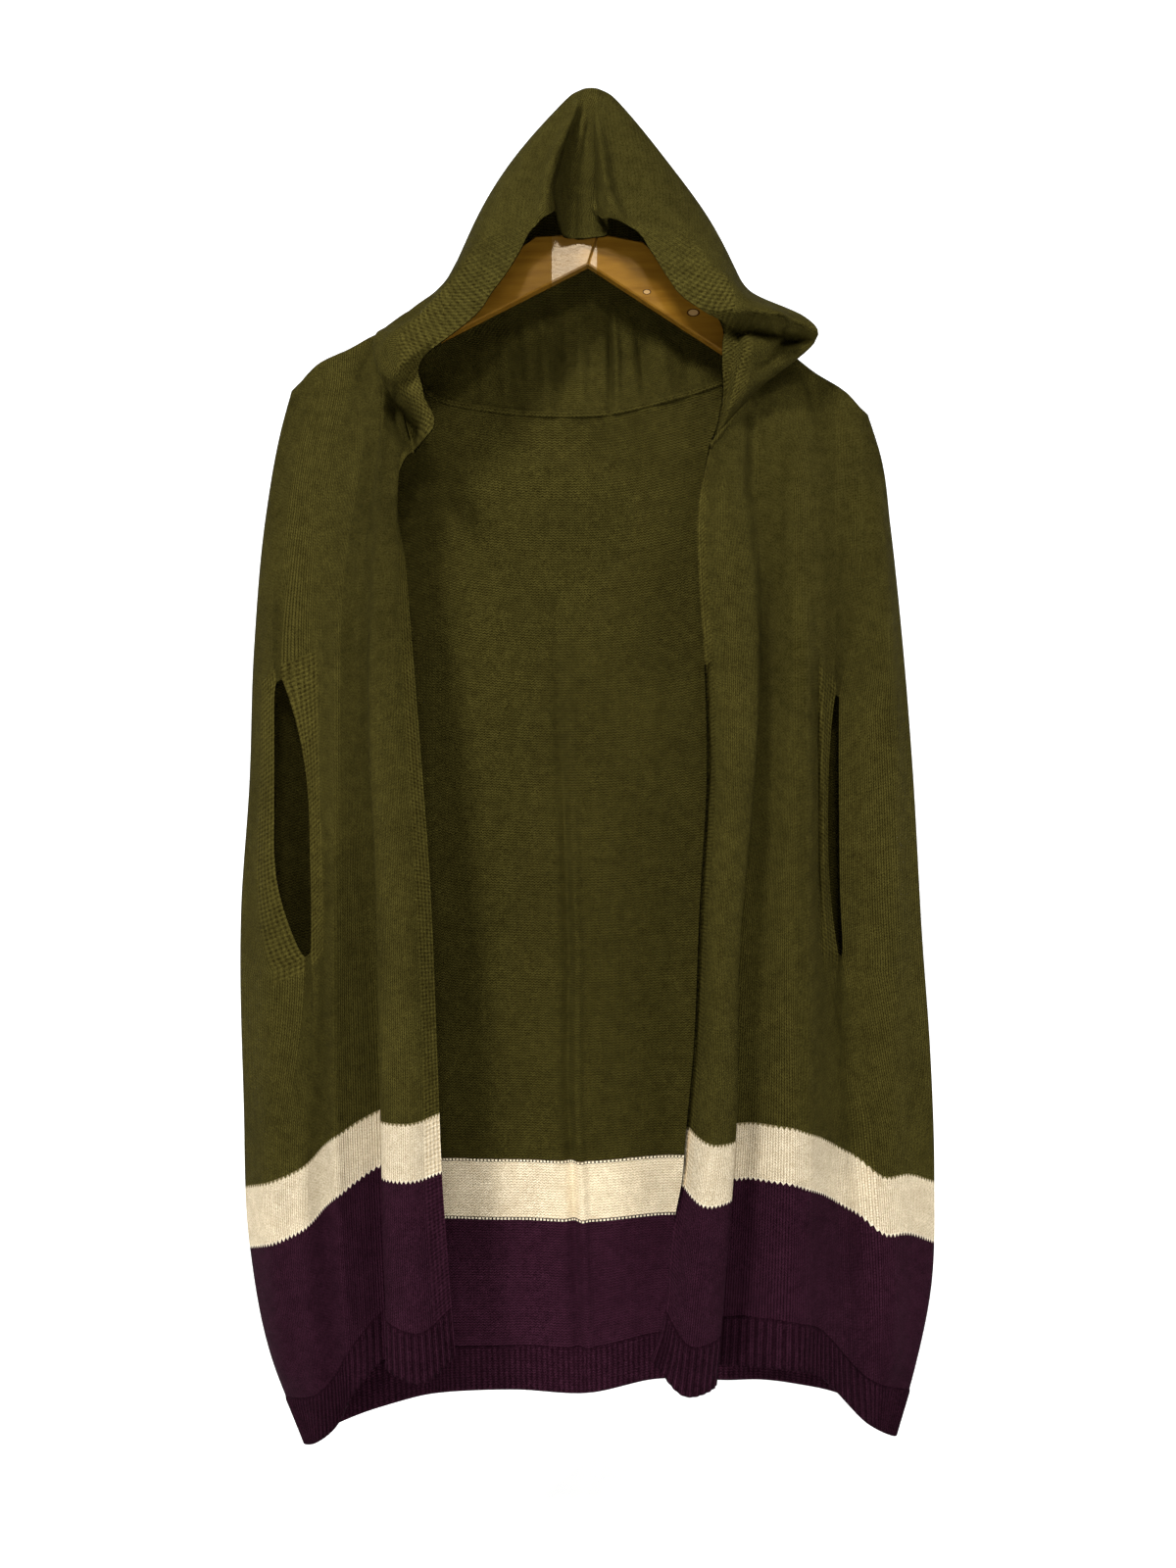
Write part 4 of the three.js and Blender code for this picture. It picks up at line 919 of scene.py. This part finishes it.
def addHood(side, halfGrid, halfNormals, pleatGrid, pleatNormals):
    points = np.concatenate([halfGrid.reshape(-1, 3), pleatGrid.reshape(-1, 3)])
    normals = np.concatenate([halfNormals.reshape(-1, 3), pleatNormals.reshape(-1, 3)])

    def hoodMap(grid, fromLast):
        across = np.linalg.norm(np.diff(grid, axis=1), axis=2)
        u = np.concatenate([np.zeros((len(grid), 1)), np.cumsum(across, axis=1)], axis=1)
        if fromLast:
            u = u[:, -1:] - u
        down = np.linalg.norm(np.diff(grid, axis=0), axis=2).mean(axis=1)
        v = np.concatenate([[0], np.cumsum(down)])
        return np.stack([u * mm, np.repeat(v[:, None], grid.shape[1], axis=1) * mm], axis=-1).reshape(-1, 2)

    # The knit is measured from the back seam, and the garter border from the brim
    isLeft = side == "left"
    uv = np.concatenate([hoodMap(halfGrid, isLeft), hoodMap(pleatGrid, isLeft)])
    fromBrim = hoodMap(halfGrid, not isLeft)[:, 0]
    offset = halfGrid.shape[0] * halfGrid.shape[1]
    quads = np.concatenate([gridQuads(*halfGrid.shape[:2]), gridQuads(*pleatGrid.shape[:2]) + offset])
    # The pleat's column beside the brim is the brim's own: points within 1/500 mm are one
    rounded = np.round(points * 500).astype(int)
    _, first, ids = np.unique(rounded, axis=0, return_index=True, return_inverse=True)
    quads = first[ids.ravel()][quads]
    materials = [yarnMaterial("hoodFace", yarns["olive"]), yarnMaterial("hoodReverse", yarns["olive"], True)]
    band = np.zeros(len(points))
    fade = smoothStep((garter["fadeZ"] - points[:offset, 2]) / garter["fadeTall"])
    band[:offset] = (fromBrim < garter["brim"]) * fade
    piece = shell(f"hood_{side}_knit", points, normals, uv, quads, materials, {"band": band})
    addPiece(piece, f"hood_{side}")


middle = hood["halfCells"] * cloth["fine"]
for side, half, pleatGrid, pleatNormals in (("left", slice(0, middle + 1), pleatLeftGrid, normalGrids[4]),
                                           ("right", slice(middle, None), pleatRightGrid, normalGrids[5])):
    addHood(side, hoodGrid[:, half], normalGrids[3][:, half], pleatGrid, pleatNormals)

# Hanger and hook

wood = {
    "pale": (0.235, 0.118, 0.012),
    "deep": (0.115, 0.048, 0.004),
    "ring": (0.03, 0.010, 0.002),
    "heart": (0.34, 0.21, 0.08),
    "polishX": -0.0133,  # the planed flat at the middle, which shines
    "polishHalf": 0.018,
    "leftAngle": 27,
    "rightAngle": 33,
    "stretch": (1, 6, 9),
    "grain": (22, 6),  # scale and detail of each noise
    "fibre": (160, 3),
    "grainShare": 1.3,
    "fibreShare": 0.3,
    "deepShare": 0.35,
    "knotSquash": 1.6,
    "heartShare": 0.75,
    "gloss": (0.9, 0.06),  # added at the planed flat, and everywhere
    "tint": (1, 0.86, 0.64, 1),
    "roughness": 0.34,
    "knots": {"left": [], "right": [(0.0815, -0.1735, 0.0052), (0.0445, -0.157, 0.0034)]},
}


def woodMaterial(side, turn):
    n = Nodes(f"varnishedWood_{side}")
    place = n.add("ShaderNodeTexCoord").outputs["Object"]
    mapping = n.add("ShaderNodeMapping")
    n.put(mapping.inputs["Vector"], place)
    mapping.inputs["Rotation"].default_value = (0, math.radians(turn), 0)
    mapping.inputs["Scale"].default_value = wood["stretch"]
    grain = n.math("MULTIPLY", n.noise(mapping.outputs[0], *wood["grain"]), wood["grainShare"])
    fibre = n.noise(mapping.outputs[0], *wood["fibre"])
    mix = n.math("ADD", grain, n.math("MULTIPLY", fibre, wood["fibreShare"]))
    colour = n.mixColour(n.math("SUBTRACT", mix, wood["deepShare"]), wood["deep"], wood["pale"])
    for x, z, radius in wood["knots"][side]:
        away = n.add("ShaderNodeVectorMath", operation="DISTANCE")
        stretched = n.add("ShaderNodeMapping")
        n.put(stretched.inputs["Vector"], place)
        stretched.inputs["Location"].default_value = (-x, 0, -wood["knotSquash"] * z)
        stretched.inputs["Scale"].default_value = (1, 0, wood["knotSquash"])
        n.put(away.inputs[0], stretched.outputs[0])
        away.inputs[1].default_value = (0, 0, 0)
        rim = n.math("LESS_THAN", away.outputs["Value"], radius)
        core = n.math("LESS_THAN", away.outputs["Value"], radius * wood["heartShare"])
        colour = n.mixColour(core, n.mixColour(rim, colour, wood["ring"]), wood["heart"])
    n.put(n.shader.inputs["Base Color"], colour)
    split = n.add("ShaderNodeSeparateXYZ")
    n.put(split.inputs[0], place)
    fromFlat = n.math("ABSOLUTE", n.math("SUBTRACT", split.outputs[0], wood["polishX"]))
    polish = n.math("LESS_THAN", fromFlat, wood["polishHalf"])
    n.put(n.shader.inputs["Specular IOR Level"], n.math("MULTIPLY_ADD", polish, *wood["gloss"]))
    n.fix({"Specular Tint": wood["tint"], "Roughness": wood["roughness"]})
    n.bump(fibre, 0.0003, 0.5)
    return n.material


for side, turn in (("left", wood["leftAngle"]), ("right", -wood["rightAngle"])):
    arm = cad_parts[f"hanger_arm_{side}"]
    arm.data.materials.clear()
    arm.data.materials.append(woodMaterial(side, turn))

steel = Nodes("hookSteel")
steel.fix({"Base Color": (0.7, 0.71, 0.73, 1), "Metallic": 1})
scratches = steel.noise(steel.add("ShaderNodeTexCoord").outputs["Object"], 400, 4)
steel.put(steel.shader.inputs["Roughness"], steel.math("MULTIPLY_ADD", scratches, 0.2, 0.15))
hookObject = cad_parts["hook"]
hookObject.data.materials.clear()
hookObject.data.materials.append(steel.material)
print("hanger and hook ready")

# Studio: pale floor, soft light, and the camera where the photograph was taken

studio = {
    "floorZ": -1.32,
    "floorGlow": 0.5,
    "wallY": 2.6,
    "wallRadius": 1.4,
    "halfWidth": 6,
    "frontY": -4,
    "wallTall": 5,
    "backdrop": 0.9,
    "ambient": 0.07,
    "camera": (-0.0024, -1.25, -0.5493),
    "halfTall": 0.628,  # seen at the hanger's plane
}
lights = [
    dict(name="keyLight", place=(-1.05, -2.0, 1.6), target=(0, 0, -0.5), size=(0.5, 0.5), power=116),
    dict(name="frontLight", place=(0.9, -2.2, 1.2), target=(0, 0, -0.5), size=(0.7, 0.7), power=26),
    dict(name="glossLight", place=(-0.04, -2.3, 0.643), target=(0, 0, -0.12), size=(0.2, 0.26), power=22),
    dict(name="leftRim", place=(-1.9, 0.35, -0.2), target=(0, 0, -0.55), size=(0.8, 1.4), power=4),
    dict(name="rightRim", place=(1.9, 0.35, -0.2), target=(0, 0, -0.55), size=(0.8, 1.4), power=15),
]

# The floor runs back and turns up behind the garment without an edge
turn = np.linspace(0, math.pi / 2, 13)
sweepY = [studio["frontY"], *(studio["wallY"] - studio["wallRadius"] * (1 - np.sin(turn))), studio["wallY"]]
sweepZ = [0, *(studio["wallRadius"] * (1 - np.cos(turn))), studio["wallTall"]]
sweep = [(x, y, z + studio["floorZ"]) for y, z in zip(sweepY, sweepZ)
         for x in (-studio["halfWidth"], studio["halfWidth"])]
floorMesh = bpy.data.meshes.new("studio_floor")
floorMesh.from_pydata(sweep, [], [(2 * k, 2 * k + 1, 2 * k + 3, 2 * k + 2) for k in range(len(sweepY) - 1)])
floorMesh.polygons.foreach_set("use_smooth", [True] * len(floorMesh.polygons))
floor = bpy.data.objects.new("studio_floor", floorMesh)
bpy.context.scene.collection.objects.link(floor)
floorPaint = Nodes("studioFloor")
floorPaint.fix({"Base Color": (0.9, 0.9, 0.9, 1), "Roughness": 0.9, "Specular IOR Level": 0.1,
                "Emission Color": (1, 1, 1, 1), "Emission Strength": studio["floorGlow"]})
floorMesh.materials.append(floorPaint.material)

world = bpy.data.worlds.new("studio")
bpy.context.scene.world = world
world.use_nodes = True
sky = world.node_tree
backdrop = sky.nodes.new("ShaderNodeBackground")
backdrop.inputs[0].default_value = (1, 1, 1, 1)
backdrop.inputs[1].default_value = studio["backdrop"]
sky.nodes["Background"].inputs[0].default_value = (1, 0.98, 0.95, 1)
sky.nodes["Background"].inputs[1].default_value = studio["ambient"]
seen = sky.nodes.new("ShaderNodeLightPath")
blend = sky.nodes.new("ShaderNodeMixShader")
sky.links.new(seen.outputs["Is Camera Ray"], blend.inputs[0])
sky.links.new(sky.nodes["Background"].outputs[0], blend.inputs[1])
sky.links.new(backdrop.outputs[0], blend.inputs[2])
sky.links.new(blend.outputs[0], sky.nodes["World Output"].inputs[0])

for light in lights:
    data = bpy.data.lights.new(light["name"], "AREA")
    data.shape = "RECTANGLE"
    data.size, data.size_y = light["size"]
    data.energy = light["power"]
    lamp = bpy.data.objects.new(light["name"], data)
    bpy.context.scene.collection.objects.link(lamp)
    lamp.location = light["place"]
    away = np.array(light["target"]) - np.array(light["place"])
    lean = math.atan2(math.hypot(away[0], away[1]), -away[2])
    lamp.rotation_euler = (lean, 0, math.atan2(away[1], away[0]) - math.pi / 2)

camera = bpy.data.objects.new("camera", bpy.data.cameras.new("camera"))
bpy.context.scene.collection.objects.link(camera)
camera.location = studio["camera"]
camera.rotation_euler = (math.pi / 2, 0, 0)
camera.data.sensor_fit = "VERTICAL"
camera.data.sensor_height = 24
camera.data.lens = 12 / (studio["halfTall"] / -studio["camera"][1])
bpy.context.scene.camera = camera
bpy.context.scene.view_settings.view_transform = "Standard"
print("studio ready")
